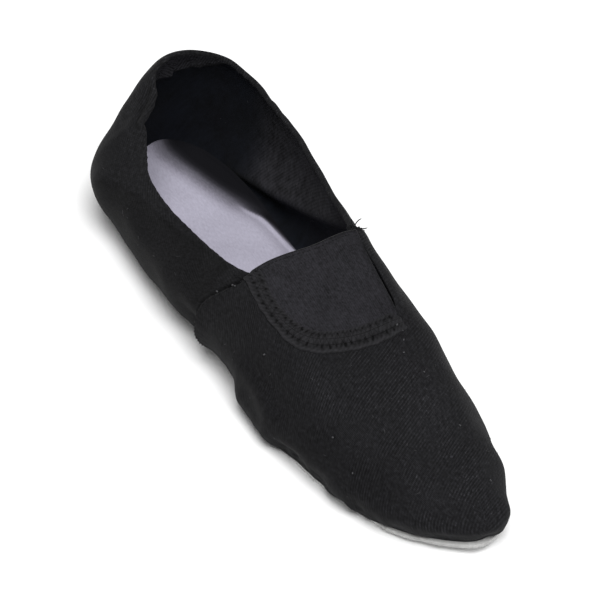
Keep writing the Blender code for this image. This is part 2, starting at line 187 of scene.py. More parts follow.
def last_at(side, s, v):
    """Point of the last on one side, at station s and height v."""
    s, v = np.broadcast_arrays(np.asarray(s, float), np.asarray(v, float))
    q = spline_at(LOOP_U, LOOP_END, LOOP_BENDS, loop_u(side, s)).copy()
    q[..., 0:2] = sole_edge(side, s, np.full(s.shape, EDGE_INSET))
    q[..., 2] = sole_lift(q[..., 0]) + SOLE_THICK + GAP
    q[..., 5] = sole_lift(q[..., 3]) + SOLE_THICK + GAP + TURN_RISE
    ridge = spline_at(STATIONS, RIDGE, RIDGE_BENDS, s)
    fall = spline_at(STATIONS, RIDGE, RIDGE_BENDS, s, True)
    knots = np.stack([q[..., 0:3], q[..., 3:6], q[..., 6:9], q[..., 9:12], ridge], -2)
    at = np.array([0, V_TURN, V_BELLY, V_RIM, 1.0])
    tangents = np.zeros_like(knots)
    for i in (1, 2, 3):
        h0, h1 = at[i] - at[i - 1], at[i + 1] - at[i]
        d0 = (knots[..., i, :] - knots[..., i - 1, :]) / h0
        d1 = (knots[..., i + 1, :] - knots[..., i, :]) / h1
        tangents[..., i, :] = (d0 * h1 + d1 * h0) / (h0 + h1)
    tangents[..., 0, :] = (1.6 * (knots[..., 1, :] - knots[..., 0, :]) / V_TURN
                           - 0.6 * tangents[..., 1, :])
    over = 1.2 * (ridge - knots[..., 3, :]) / (1 - V_RIM)
    along = over[..., 0] / fall[..., 0]
    across = over[..., 1] - along * fall[..., 1]
    over[..., 2] = along * fall[..., 2] + across * ridge_tilt(s)
    tangents[..., 4, :] = over
    k = np.clip(np.searchsorted(at, v, side="right") - 1, 0, 3)
    h = (at[k + 1] - at[k])[..., None]
    t = (v - at[k])[..., None] / h

    def pick(rows, i):
        return np.take_along_axis(rows, i[..., None, None], -2)[..., 0, :]
    return ((2 * t ** 3 - 3 * t ** 2 + 1) * pick(knots, k)
            + (t ** 3 - 2 * t ** 2 + t) * h * pick(tangents, k)
            + (3 * t ** 2 - 2 * t ** 3) * pick(knots, k + 1)
            + (t ** 3 - t ** 2) * h * pick(tangents, k + 1))


def unit(a):
    return a / (np.linalg.norm(a, axis=-1)[..., None] + 1e-15)


def last_normal(side, s, v):
    """Outward normal of the last at points off the toe end."""
    s, v = np.broadcast_arrays(np.asarray(s, float), np.asarray(v, float))
    fall = spline_at(STATIONS, RIDGE, RIDGE_BENDS, s, True)
    tilt = ridge_tilt(s)
    top = np.stack([fall[..., 1] * tilt - fall[..., 2], -fall[..., 0] * tilt, fall[..., 0]], -1)
    low = np.clip(v, 0.012, 0.985)
    up = last_at(side, s, low + 0.01) - last_at(side, s, low - 0.01)
    ahead = last_at(side, s + 0.004, low) - last_at(side, s - 0.004, low)
    out = unit(side * np.cross(up, ahead))
    share = np.clip((v - 0.93) / 0.07, 0, 1)[..., None]
    return unit(out * (1 - share) + unit(top) * share)


def even_stations(n):
    fine = np.linspace(0, 1, 2001)
    p = sole_edge(1, fine)
    run = np.concatenate([[0], np.cumsum(np.linalg.norm(np.diff(p, axis=0), axis=1))])
    return np.interp(np.linspace(0, run[-1], n + 1), run, fine)


def gore_line(side, turn):
    """Station and height along the gore's side and front edge, turn 0 to 1."""
    angle = np.asarray(turn, float) * np.pi / 2
    power = 2.0 / GORE_ROUND[side]
    along = np.clip(np.sin(angle), 0, 1) ** power
    s = GORE_BACK + (GORE_FRONT - GORE_BACK) * along
    wide = 1 - GORE_V[side] - GORE_LEAN[side] * along
    return s, 1 - wide * np.clip(np.cos(angle), 0, 1) ** power


def gore_turns(side, n):
    fine = np.linspace(0, 1, 2001)
    s, v = gore_line(side, fine)
    p = last_at(side, s, v)
    run = np.concatenate([[0], np.cumsum(np.linalg.norm(np.diff(p, axis=0), axis=1))])
    return np.interp(np.linspace(0, run[-1], n + 1), run, fine)


def collar_height(side, s):
    t = np.clip((s - (GORE_BACK - 0.05)) / 0.05, 0, 1)
    return V_RIM + (GORE_V[side] - V_RIM) * t * t * (3 - 2 * t)


# The solids' frame has its origin at the bottom centre of the whole shoe.
sole_low, sole_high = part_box("outsole")
ORIGIN = np.array([-sole_low[0], sole_edge(1, even_stations(44))[:, 1].max() - sole_high[1], 0.0])

# =====================================================================
# Folds, seams and slack of the cloth
# =====================================================================
# Paths are (station, height) on the last; lengths in mm. "rise" is outwards,
# "above" and "below" are the spreads on the two sides of the path.
FOLD_COLUMNS = ("name", "side", "path", "rise", "above", "below", "taper")
FOLDS = (
    # slack lateral heel and the break of the cloth above it
    ("heel_slack", -1, ((0.05, 0.30), (0.10, 0.34), (0.15, 0.35), (0.19, 0.34)), 2.4, 9, 9, 0.45),
    ("heel_break", -1, ((0.125, 0.36), (0.165, 0.47), (0.199, 0.565), (0.239, 0.633), (0.285, 0.662), (0.345, 0.655)), 2.0, 7.0, 2.2, 0.3),
    ("heel_hollow", -1, ((0.16, 0.34), (0.22, 0.42), (0.29, 0.50), (0.37, 0.55)), -2.2, 5, 8, 0.4),
    # tuck in the lateral rim near the heel
    ("rim_tuck", -1, ((0.05, 0.695), (0.073, 0.68), (0.097, 0.672), (0.112, 0.688), (0.12, 0.70)), -0.7, 0.8, 1.2, 0.3),
    ("rim_tuck_lip", -1, ((0.075, 0.66), (0.09, 0.65), (0.105, 0.655)), 0.6, 1.8, 2.4, 0.4),
    # sag of the vamp at the lateral ball
    ("waist", -1, ((0.455, 0.14), (0.50, 0.17), (0.545, 0.15), (0.60, 0.15)), -2.6, 8, 7, 0.35),
    ("ball_trough", -1, ((0.59, 0.49), (0.625, 0.472), (0.671, 0.455), (0.705, 0.444), (0.745, 0.425)), -1.3, 4.5, 2.2, 0.3),
    ("ball_ridge", -1, ((0.555, 0.40), (0.585, 0.388), (0.62, 0.41), (0.648, 0.425), (0.672, 0.402), (0.70, 0.385), (0.73, 0.37)), 1.5, 2.2, 3.6, 0.3),
    ("ball_hollow", -1, ((0.60, 0.31), (0.635, 0.325), (0.67, 0.305), (0.70, 0.29)), -0.8, 2.6, 2.6, 0.35),
    ("ball_lobe", -1, ((0.585, 0.235), (0.625, 0.205), (0.675, 0.185), (0.724, 0.18)), 2.7, 6.5, 6.0, 0.30),
    ("lobe_pinch", -1, ((0.740, 0.02), (0.739, 0.10), (0.735, 0.18), (0.730, 0.27)), -1.7, 5.5, 2.8, 0.45),
    ("fore_tuck", -1, ((0.735, 0.10), (0.76, 0.12), (0.79, 0.13), (0.83, 0.13)), -1.3, 5.5, 6.0, 0.35),
    # lateral forefoot, gathered into the sole
    ("fore_dent_1", -1, ((0.815, 0.10), (0.82, 0.24), (0.812, 0.36)), -0.9, 3.2, 3.6, 0.4),
    ("fore_dent_2", -1, ((0.875, 0.10), (0.878, 0.24), (0.87, 0.36)), -0.8, 3.4, 3.2, 0.4),
    ("fore_swell", -1, ((0.845, 0.12), (0.848, 0.26), (0.842, 0.36)), 0.5, 3.0, 3.0, 0.4),
    # inner side
    ("inner_fold", 1, ((0.06, 0.15), (0.116, 0.16), (0.205, 0.25), (0.304, 0.395), (0.388, 0.52), (0.45, 0.61)), -4.2, 8.0, 1.9, 0.2),
    ("inner_under", 1, ((0.10, 0.07), (0.19, 0.13), (0.29, 0.26), (0.38, 0.40), (0.45, 0.52)), 1.6, 3.0, 4.0, 0.25),
    ("inner_sag", 1, ((0.24, 0.57), (0.31, 0.64), (0.38, 0.68)), -0.8, 3.6, 4.5, 0.4),
    ("inner_ball", 1, ((0.66, 0.51), (0.71, 0.47), (0.76, 0.43), (0.82, 0.39), (0.90, 0.36)), -2.6, 9.0, 8.0, 0.35),
    ("toe_fill", 1, ((0.945, 0.22), (0.965, 0.20), (0.985, 0.18), (1.0, 0.17)), 1.3, 8.0, 6.0, 0.5),
    ("toe_fill_low", 1, ((0.962, 0.14), (0.977, 0.125), (0.99, 0.115), (1.0, 0.11)), 1.3, 5.0, 4.0, 0.45),
    ("inner_dent", 1, ((0.86, 0.12), (0.865, 0.30), (0.855, 0.48)), -0.8, 3.0, 3.6, 0.4),
    ("inner_dent_2", 1, ((0.78, 0.10), (0.785, 0.26), (0.78, 0.40)), -0.6, 3.4, 3.4, 0.4),
    # soft cross rolls of the vamp
    ("vamp_roll_1", -1, ((0.71, 0.60), (0.735, 0.76), (0.745, 0.90), (0.745, 1.0)), 0.45, 5, 5, 0.4),
    ("vamp_roll_2", 1, ((0.71, 0.62), (0.73, 0.76), (0.745, 0.90), (0.745, 1.0)), 0.45, 5, 5, 0.4),
    ("vamp_roll_3", -1, ((0.77, 0.52), (0.79, 0.66), (0.80, 0.85)), -0.4, 5, 5, 0.4),
    # quarters behind the seams
    ("seam_hollow", -1, ((0.460, 0.06), (0.460, 0.18), (0.460, 0.30), (0.464, 0.42)), -2.2, 1.8, 6.0, 0.3),
    ("quarter_roll", -1, ((0.36, 0.30), (0.40, 0.45), (0.43, 0.62)), 0.8, 6, 7, 0.4),
    ("quarter_roll_in", 1, ((0.42, 0.22), (0.44, 0.40), (0.46, 0.56)), 0.6, 6, 6, 0.4),
)
# Side seams: where the vamp is sewn over the quarters, from the throat down.
SEAM = {-1: ((0.512, 0.70), (0.512, 0.655), (0.507, 0.62), (0.493, 0.564), (0.481, 0.512), (0.476, 0.44), (0.477, 0.36),
             (0.477, 0.28), (0.478, 0.13), (0.478, 0.0)),
        1: ((0.502, 0.757), (0.498, 0.70), (0.484, 0.57), (0.474, 0.44), (0.472, 0.33), (0.474, 0.22), (0.477, 0.11),
            (0.478, 0.0))}
# Shift of the collar edge from the last: station, to the inner side, up (mm).
RIM_SHIFT = {
    -1: ((0.0, 0.0, -0.8), (0.02, -1.2, -0.6), (0.035, -2.8, -0.1), (0.05, -0.8, 0.0), (0.07, 2.4, 0.0), (0.086, 3.4, 0.0),
         (0.096, 1.8, -0.2), (0.104, -1.0, 0.0), (0.113, 0.8, 0.1), (0.125, 1.4, 0.2), (0.145, 1.3, 0.2), (0.17, 0.5, 0.2), (0.20, -1.0, 0.0),
         (0.26, -0.1, 0.0), (0.30, 0.5, 0.5), (0.34, 1.0, 1.4), (0.38, 1.2, 1.7), (0.42, 0.9, 1.0), (0.45, 0.0, 0.1),
         (0.47, -0.2, -0.5), (0.49, 0.4, -0.7), (0.512, 1.7, 0.0), (1.0, 0.0, 0.0)),
    1: ((0.0, 0.0, -0.8), (0.02, 0.0, -0.7), (0.05, 0.0, -0.2), (0.08, -0.2, -0.6), (0.10, -0.3, -0.4), (0.125, -0.5, 0.0),
        (0.145, -0.3, -0.9), (0.16, -0.2, 0.2), (0.18, 0.2, -0.5), (0.20, 0.5, 0.2), (0.23, 0.8, 0.4), (0.26, 1.0, 0.5),
        (0.30, 1.2, 0.6), (0.34, 1.5, 0.5), (0.38, 1.1, 0.4), (0.42, 0.6, 0.2), (0.46, 0.1, 0.0), (0.49, 0.0, 0.2),
        (0.512, 0.0, 0.0), (1.0, 0.0, 0.0)),
}
HEM = 6.5            # turned-in hem at the collar, mm


def path_on_last(side, rows, n=90):
    """A smooth path on the last: points, tangents, cross directions, shares."""
    rows = np.array(rows, float)
    run = np.concatenate([[0], np.cumsum(np.hypot(np.diff(rows[:, 0]) * 240, np.diff(rows[:, 1]) * 95))])
    q = np.linspace(0, run[-1], n)
    if len(rows) > 2:
        sv = spline_at(run, rows, spline_bends(run, rows, False), q)
    else:
        sv = np.stack([np.interp(q, run, rows[:, k]) for k in (0, 1)], 1)
    s, v = sv[:, 0], np.clip(sv[:, 1], 0, 1)
    p = last_at(side, s, v)
    tangent = unit(np.gradient(p, axis=0))
    normal = last_normal(side, s, v)
    cross = unit(np.cross(normal, tangent))
    return {"p": p, "t": tangent, "n": normal, "c": cross, "share": q / run[-1], "s": s, "v": v}


def near_path(points, path, reach):
    """Which points lie near a path, their share along it and distance across."""
    lo, hi = path["p"].min(0) - reach, path["p"].max(0) + reach
    pick = np.nonzero(((points > lo) & (points < hi)).all(1))[0]
    share, across, past = np.zeros(len(pick)), np.zeros(len(pick)), np.zeros(len(pick))
    for a in range(0, len(pick), 6000):
        rows = pick[a:a + 6000]
        rel = points[rows][:, None, :] - path["p"][None]
        k = (rel ** 2).sum(-1).argmin(1)
        rel = rel[np.arange(len(rows)), k]
        along = (rel * path["t"][k]).sum(1)
        step = np.linalg.norm(path["p"][1] - path["p"][0])
        share[a:a + 6000] = path["share"][k] + along / step / (len(path["p"]) - 1)
        across[a:a + 6000] = (rel * path["c"][k]).sum(1)
        off = np.linalg.norm(rel - along[:, None] * path["t"][k], axis=1)
        across[a:a + 6000] = np.where(across[a:a + 6000] >= 0, 1, -1) * off
    return pick, share, across


FOLD_ROWS = [dict(zip(FOLD_COLUMNS, row)) for row in FOLDS]
for row in FOLD_ROWS:
    row["line"] = path_on_last(row["side"], row["path"])
    # the cross direction points to the toe for an upright path, up for a long one
    c = row["line"]["c"]
    upright = abs(row["path"][-1][1] - row["path"][0][1]) * 95 > abs(row["path"][-1][0] - row["path"][0][0]) * 240
    if c[:, 0 if upright else 2].mean() < 0:
        row["line"]["c"] = -c
SEAM_LINE = {}
for side in (1, -1):
    line = path_on_last(side, SEAM[side], 160)
    if line["c"][:, 0].mean() < 0:
        line["c"] = -line["c"]
    SEAM_LINE[side] = line

WAVES = [(unit(RNG.normal(size=3)), RNG.uniform(11, 34) * MM, RNG.uniform(0, 6.283), RNG.uniform(0.5, 1.0)) for _ in range(14)]


def slow_noise(points):
    """Smooth uneven field, about -1 to 1."""
    out = np.zeros(len(points))
    for d, w, phase, a in WAVES:
        out += a * np.sin(points @ d * (6.283 / w) + phase)
    return out / 3.2


def smooth(t):
    t = np.clip(t, 0, 1)
    return t * t * (3 - 2 * t)


def relief(side, points, s, v):
    """Outward move of the cloth from the last, in metres."""
    points = points.reshape(-1, 3)
    s, v = np.asarray(s, float).ravel(), np.asarray(v, float).ravel()
    out = 0.28 * slow_noise(points)
    for row in FOLD_ROWS:
        if row["side"] != side:
            continue
        reach = 3.2 * max(row["above"], row["below"]) * MM
        pick, share, across = near_path(points, row["line"], reach)
        width = np.where(across > 0, row["above"], row["below"]) * MM
        ends = smooth(np.minimum(share, 1 - share) / row["taper"] + 0.12)
        out[pick] += row["rise"] * ends * np.exp(-0.5 * (across / width) ** 2)
    # seam: rounded edge of the vamp standing over the quarter
    pick, share, across = near_path(points, SEAM_LINE[side], 16 * MM)
    d = across / MM
    belly = np.exp(-0.5 * ((share - 0.62) / 0.24) ** 2) * (1.0 if side < 0 else 0.15)
    pucker = 0.5 + 0.5 * np.sin(share * 105.0 + 2.0 * np.sin(share * 31.0))
    lip = np.where(d > 0, np.exp(-0.5 * (np.maximum(d - 0.9, 0) / 4.2) ** 2) * smooth(d / 0.9), 0)
    fade = smooth((1.04 - share) / 0.1) * smooth((share + 0.03) / 0.05)
    out[pick] += fade * ((0.7 + 1.1 * belly + 0.2 * pucker) * lip
                         - (0.55 + 0.25 * pucker) * np.exp(-0.5 * ((d + 0.35) / 0.55) ** 2)
                         - 0.35 * np.exp(-0.5 * ((d + 2.2) / 1.6) ** 2) * (d < 3))
    # gathers where the cloth is sewn into the sole
    run = s * 240.0
    gather = np.sin(run * 0.83 + 1.6 * np.sin(run * 0.21 + side)) * np.exp(-0.5 * ((v - 0.10) / 0.075) ** 2)
    ends = smooth((s - 0.62) / 0.2) + 0.55 * smooth((0.2 - s) / 0.2) + 0.25
    out += 0.34 * gather * ends
    # tied to the sole at the bottom
    out *= smooth(v / 0.07)
    return out * MM


def rim_shift(side, s, v):
    """Lean and wave of the collar, strongest at the rim."""
    s, v = np.broadcast_arrays(np.asarray(s, float), np.asarray(v, float))
    rows = np.array(RIM_SHIFT[side])
    fine = np.linspace(0, 1, 2001)
    soft = np.exp(-0.5 * (np.arange(-24, 25) / 8.0) ** 2)
    soft /= soft.sum()
    out = np.zeros(s.shape + (3,))
    for k in (1, 2):
        curve = np.interp(fine, rows[:, 0], rows[:, k])
        curve = np.convolve(np.pad(curve, 24, mode="edge"), soft, "valid")
        out[..., k] = np.interp(np.minimum(s, GORE_BACK), fine, curve)
    weight = np.clip((v - 0.40) / 0.30, 0, 1) ** 1.5 * smooth((0.95 - v) / 0.2)
    weight = weight * smooth(1 - (s - GORE_BACK) / 0.06)
    return out * weight[..., None] * MM


def skin(side, s, v, lift=0.0):
    """Point on the worn cloth, lifted along its normal (metres)."""
    s, v = np.broadcast_arrays(np.asarray(s, float), np.asarray(v, float))
    p = last_at(side, s, v)
    n = last_normal(side, s, v)
    d = relief(side, p, s, v).reshape(s.shape)
    return p + (d + lift)[..., None] * n + rim_shift(side, s, v), n


# =====================================================================
# Mesh helpers
# =====================================================================
def mesh_object(name, verts, faces, uv=None, mats=(), slots=None, floats=None):
    """Object from points and faces; uv per corner, floats per point."""
    mesh = bpy.data.meshes.new(name)
    mesh.from_pydata((np.asarray(verts) - ORIGIN).tolist(), [], [tuple(int(k) for k in f) for f in faces])
    for m in mats:
        mesh.materials.append(m)
    if slots is not None:
        mesh.polygons.foreach_set("material_index", np.asarray(slots, np.int32))
    mesh.polygons.foreach_set("use_smooth", np.ones(len(mesh.polygons), bool))
    if uv is not None:
        layer = mesh.uv_layers.new(name="cloth")
        layer.data.foreach_set("uv", np.asarray(uv, np.float32).ravel())
    for key, values in (floats or {}).items():
        layer = mesh.attributes.new(key, "FLOAT", "POINT")
        layer.data.foreach_set("value", np.asarray(values, np.float32))
    mesh.update()
    obj = bpy.data.objects.new(name, mesh)
    bpy.context.scene.collection.objects.link(obj)
    return obj


def grid_faces(index, flip):
    a, b, c, d = index[:-1, :-1], index[1:, :-1], index[1:, 1:], index[:-1, 1:]
    quads = np.stack([a, d, c, b] if flip else [a, b, c, d], -1).reshape(-1, 4)
    return quads


def tidy(faces):
    """Drops repeated corners, so that a squashed quad becomes a triangle."""
    out, keep = [], []
    for k, f in enumerate(faces):
        g = [int(x) for j, x in enumerate(f) if x != f[j - 1]]
        if len(set(g)) == len(g) and len(g) > 2:
            out.append(g)
            keep.append((k, [j for j, x in enumerate(f) if x != f[j - 1]]))
    return out, keep


def tubes(lines, radii, sides=6):
    """Joined thin tubes along polylines, with pinched ends."""
    verts, faces = [], []
    angle = np.linspace(0, 2 * np.pi, sides, endpoint=False)
    for line, radius in zip(lines, radii):
        line = np.asarray(line, float)
        n = len(line)
        t = unit(np.gradient(line, axis=0))
        ref = np.array([0.0, 0.0, 1.0]) if abs(t[:, 2]).mean() < 0.8 else np.array([1.0, 0.0, 0.0])
        a = unit(np.cross(t, ref))
        b = np.cross(t, a)
        size = np.full(n, radius)
        size[0] *= 0.45
        size[-1] *= 0.45
        ring = line[:, None] + size[:, None, None] * (np.cos(angle)[None, :, None] * a[:, None] + np.sin(angle)[None, :, None] * b[:, None])
        base = len(verts)
        verts.extend(ring.reshape(-1, 3))
        for i in range(n - 1):
            for j in range(sides):
                k = (j + 1) % sides
                faces.append((base + i * sides + j, base + i * sides + k, base + (i + 1) * sides + k, base + (i + 1) * sides + j))
        faces.append(tuple(base + j for j in range(sides))[::-1])
        faces.append(tuple(base + (n - 1) * sides + j for j in range(sides)))
    return np.array(verts), faces


# =====================================================================
# Materials
# =====================================================================
def new_material(name, colour, roughness, **sockets):
    mat = bpy.data.materials.new(name)
    mat.use_nodes = True
    node = mat.node_tree.nodes["Principled BSDF"]
    node.inputs["Base Color"].default_value = (*colour, 1.0)
    node.inputs["Roughness"].default_value = roughness
    node.inputs["Metallic"].default_value = 0.0
    for key, value in sockets.items():
        node.inputs[key.replace("_", " ")].default_value = value
    return mat, mat.node_tree.nodes, mat.node_tree.links, node


def add(nodes, kind, **values):
    node = nodes.new(kind)
    for key, value in values.items():
        if key in node.inputs:
            node.inputs[key].default_value = value
        else:
            setattr(node, key, value)
    return node


def place(nodes, links, source, scale=(1, 1, 1), turn=0.0):
    m = add(nodes, "ShaderNodeMapping")
    m.inputs["Scale"].default_value = scale
    m.inputs["Rotation"].default_value = (0, 0, turn)
    links.new(source, m.inputs["Vector"])
    return m.outputs["Vector"]


def math_node(nodes, links, op, a, b=None, clamp=False):
    m = add(nodes, "ShaderNodeMath", operation=op, use_clamp=clamp)
    for k, x in enumerate((a, b)):
        if x is None:
            continue
        if isinstance(x, (int, float)):
            m.inputs[k].default_value = x
        else:
            links.new(x, m.inputs[k])
    return m.outputs[0]


def ramp(nodes, links, source, stops):
    r = add(nodes, "ShaderNodeValToRGB")
    e = r.color_ramp.elements
    while len(e) < len(stops):
        e.new(0.5)
    for k, (at, colour) in enumerate(stops):
        e[k].position = at
        e[k].color = (*colour, 1.0)
    links.new(source, r.inputs["Fac"])
    return r.outputs["Color"]


K_WAVE = 6.2832 / 20.0


def wave(nodes, links, source, pitch, turn, distortion):
    """Bands of a given pitch (mm) across the direction "turn" of the cloth."""
    w = add(nodes, "ShaderNodeTexWave", wave_type="BANDS", bands_direction="X", wave_profile="SIN")
    w.inputs["Scale"].default_value = K_WAVE / pitch
    w.inputs["Distortion"].default_value = distortion
    w.inputs["Detail"].default_value = 2.0
    w.inputs["Detail Scale"].default_value = 1.2
    links.new(place(nodes, links, source, turn=-turn), w.inputs["Vector"])
    return w.outputs["Fac"]


def noise(nodes, links, source, scale, detail, rough):
    n = add(nodes, "ShaderNodeTexNoise")
    n.inputs["Scale"].default_value = scale
    n.inputs["Detail"].default_value = detail
    n.inputs["Roughness"].default_value = rough
    links.new(source, n.inputs["Vector"])
    return n.outputs["Fac"]


def weighted(nodes, links, terms):
    """Sum of weight * (field - 0.5) over the terms, plus one, halved: 0.5 is even."""
    total = None
    shift = 1.0
    for field, weight in terms:
        part = math_node(nodes, links, "MULTIPLY", field, weight)
        total = part if total is None else math_node(nodes, links, "ADD", total, part)
        shift -= 0.5 * weight
    total = math_node(nodes, links, "ADD", total, shift)
    return math_node(nodes, links, "MULTIPLY", total, 0.5, clamp=True)


def attribute(nodes, name):
    return add(nodes, "ShaderNodeAttribute", attribute_name=name, attribute_type="GEOMETRY").outputs["Fac"]


def bumped(nodes, links, bsdf, height, strength, distance):
    bump = add(nodes, "ShaderNodeBump")
    bump.inputs["Strength"].default_value = strength
    bump.inputs["Distance"].default_value = distance
    links.new(height, bump.inputs["Height"])
    links.new(bump.outputs["Normal"], bsdf.inputs["Normal"])


def twice(colour):
    return tuple(2 * c for c in colour)


def canvas_material(name, colour, twill_turn=0.553, pitch=1.07):
    """Matt black cotton twill: fine diagonal ribs that show in patches, dusty slubs, faint fading."""
    mat, nodes, links, bsdf = new_material(name, colour, 0.95, Sheen_Weight=0.03, Sheen_Roughness=0.5, Specular_IOR_Level=0.12)
    uv = add(nodes, "ShaderNodeUVMap", uv_map="cloth").outputs["UV"]
    obj = add(nodes, "ShaderNodeTexCoord").outputs["Object"]
    rib = wave(nodes, links, uv, pitch, twill_turn, 0.5)
    weft = wave(nodes, links, uv, 0.7, twill_turn + 1.3, 0.6)
    slub = noise(nodes, links, uv, 0.62, 6.0, 0.85)
    fade = noise(nodes, links, obj, 30.0, 4.0, 0.6)
    patch = math_node(nodes, links, "SUBTRACT", noise(nodes, links, obj, 70.0, 3.0, 0.6), 0.36)
    patch = math_node(nodes, links, "MULTIPLY", patch, 4.0, clamp=True)
    shown = math_node(nodes, links, "MULTIPLY", math_node(nodes, links, "SUBTRACT", rib, 0.5), patch)
    shown = math_node(nodes, links, "ADD", shown, 0.5)
    h = math_node(nodes, links, "ADD", math_node(nodes, links, "MULTIPLY", shown, 0.35), math_node(nodes, links, "MULTIPLY", weft, 0.2))
    h = math_node(nodes, links, "ADD", h, math_node(nodes, links, "MULTIPLY", slub, 0.8))
    bumped(nodes, links, bsdf, h, 0.5, 0.0003)
    # dark: painted shade on the outer side, in creases and in seam and notch holes; below zero, painted light on the
    # hem
    dark = attribute(nodes, "dark")
    tone = weighted(nodes, links, ((shown, 0.62), (weft, 0.2), (slub, 4.2), (fade, 0.9)))
    tone = math_node(nodes, links, "SUBTRACT", tone, math_node(nodes, links, "MULTIPLY", dark, 0.5), clamp=True)
    links.new(ramp(nodes, links, tone, ((0.0, (0.0006, 0.0006, 0.0007)), (0.5, colour), (0.8, tuple(2.08 * c for c in colour)),
                                       (1.0, tuple(6.5 * c for c in colour)))), bsdf.inputs["Base Color"])
    return mat


def lining_material():
    """Inside of the quarters: raw canvas, with a smooth bluish heel lining; the heel lining's dark colour is also
    painted shade on the inner wall under its fold.
    """
    mat, nodes, links, bsdf = new_material("black_lining", (0.006, 0.0066, 0.0085), 0.9, Sheen_Weight=0.03, Sheen_Roughness=0.5, Specular_IOR_Level=0.12)
    uv = add(nodes, "ShaderNodeUVMap", uv_map="cloth").outputs["UV"]
    obj = add(nodes, "ShaderNodeTexCoord").outputs["Object"]
    rib = wave(nodes, links, uv, 1.18, 0.69, 0.6)
    slub = noise(nodes, links, uv, 0.35, 6.0, 0.75)
    cloud = noise(nodes, links, obj, 60.0, 4.0, 0.6)
    heel = attribute(nodes, "heel")
    rough_tone = weighted(nodes, links, ((rib, 0.5), (slub, 4.4), (cloud, 2.2)))
    soft_tone = weighted(nodes, links, ((slub, 3.0), (cloud, 3.4)))
    a = ramp(nodes, links, rough_tone, ((0.0, (0.001, 0.001, 0.0012)), (1.0, (0.0385, 0.038, 0.0435))))
    b = ramp(nodes, links, soft_tone, ((0.0, (0.0012, 0.0014, 0.0021)), (1.0, (0.0064, 0.0080, 0.0126))))
    mix = add(nodes, "ShaderNodeMix", data_type="RGBA")
    links.new(heel, mix.inputs[0])
    links.new(a, mix.inputs[6])
    links.new(b, mix.inputs[7])
    links.new(mix.outputs[2], bsdf.inputs["Base Color"])
    bumped(nodes, links, bsdf, slub, 0.5, 0.0004)
    return mat


def elastic_material():
    """Woven elastic: fine ribs along the shoe, felt-like face, faint blue cast."""
    colour = (0.0124, 0.0120, 0.0146)
    mat, nodes, links, bsdf = new_material("black_elastic", colour, 0.85, Sheen_Weight=0.05, Sheen_Roughness=0.45, Specular_IOR_Level=0.16)
    uv = add(nodes, "ShaderNodeUVMap", uv_map="cloth").outputs["UV"]
    rib = wave(nodes, links, uv, 0.95, 1.5708, 0.5)
    grain = noise(nodes, links, uv, 0.7, 5.0, 0.85)
    cloud = noise(nodes, links, uv, 0.12, 3.0, 0.6)
    tone = weighted(nodes, links, ((rib, 0.3), (grain, 4.6), (cloud, 1.3)))
    # dark: painted shade, the inner half of the gore darker
    tone = math_node(nodes, links, "SUBTRACT", tone, math_node(nodes, links, "MULTIPLY", attribute(nodes, "dark"), 0.5), clamp=True)
    links.new(ramp(nodes, links, tone, ((0.0, (0.001, 0.001, 0.0012)), (1.0, twice(colour)))), bsdf.inputs["Base Color"])
    h = math_node(nodes, links, "ADD", math_node(nodes, links, "MULTIPLY", rib, 0.3), math_node(nodes, links, "MULTIPLY", grain, 0.7))
    bumped(nodes, links, bsdf, h, 0.4, 0.00025)
    return mat


def band_material():
    """Stitched band: canvas with sunk needle holes darkened by painted shade, and a pale lip that is a painted
    highlight.
    """
    colour = (0.0142, 0.0140, 0.0154)
    mat, nodes, links, bsdf = new_material("black_band", colour, 0.93, Sheen_Weight=0.04, Sheen_Roughness=0.45, Specular_IOR_Level=0.14)
    pit = attribute(nodes, "pit")
    uv = add(nodes, "ShaderNodeUVMap", uv_map="cloth").outputs["UV"]
    grain = noise(nodes, links, uv, 0.55, 6.0, 0.78)
    rib = wave(nodes, links, uv, 1.18, 0.9, 0.6)
    tone = weighted(nodes, links, ((grain, 2.4), (rib, 0.35)))
    tone = math_node(nodes, links, "SUBTRACT", tone, math_node(nodes, links, "MULTIPLY", pit, 0.5), clamp=True)
    links.new(ramp(nodes, links, tone, ((0.0, (0.001, 0.001, 0.0011)), (1.0, twice(colour)))), bsdf.inputs["Base Color"])
    bumped(nodes, links, bsdf, grain, 0.5, 0.0003)
    return mat


def felt_material():
    mat, nodes, links, bsdf = new_material("pale_felt", (0.48, 0.46, 0.56), 0.95, Sheen_Weight=0.0, Specular_IOR_Level=0.05)
    obj = add(nodes, "ShaderNodeTexCoord").outputs["Object"]
    fibre = add(nodes, "ShaderNodeTexNoise")
    fibre.inputs["Scale"].default_value = 900.0
    fibre.inputs["Detail"].default_value = 5.0
    fibre.inputs["Roughness"].default_value = 0.7
    links.new(place(nodes, links, obj, (0.6, 1.2, 1.0), 0.3), fibre.inputs["Vector"])
    stain_and_shade = add(nodes, "ShaderNodeTexNoise")
    stain_and_shade.inputs["Scale"].default_value = 30.0
    stain_and_shade.inputs["Detail"].default_value = 3.0
    links.new(obj, stain_and_shade.inputs["Vector"])
    # rim: painted shade cast by the inner wall and its fold, with some grime
    rim = attribute(nodes, "rim")
    tone = math_node(nodes, links, "ADD", math_node(nodes, links, "MULTIPLY", fibre.outputs["Fac"], 0.5),
                     math_node(nodes, links, "MULTIPLY", stain_and_shade.outputs["Fac"], 0.5))
    tone = math_node(nodes, links, "MULTIPLY", tone, math_node(nodes, links, "SUBTRACT", 1.0, rim, clamp=True))
    links.new(ramp(nodes, links, tone, ((0.0, (0.0065, 0.0065, 0.008)), (0.3, (0.28, 0.268, 0.326)), (0.7, (0.445, 0.43, 0.52)))), bsdf.inputs["Base Color"])
    bump = add(nodes, "ShaderNodeBump")
    bump.inputs["Strength"].default_value = 0.35
    bump.inputs["Distance"].default_value = 0.0003
    links.new(fibre.outputs["Fac"], bump.inputs["Height"])
    links.new(bump.outputs["Normal"], bsdf.inputs["Normal"])
    return mat


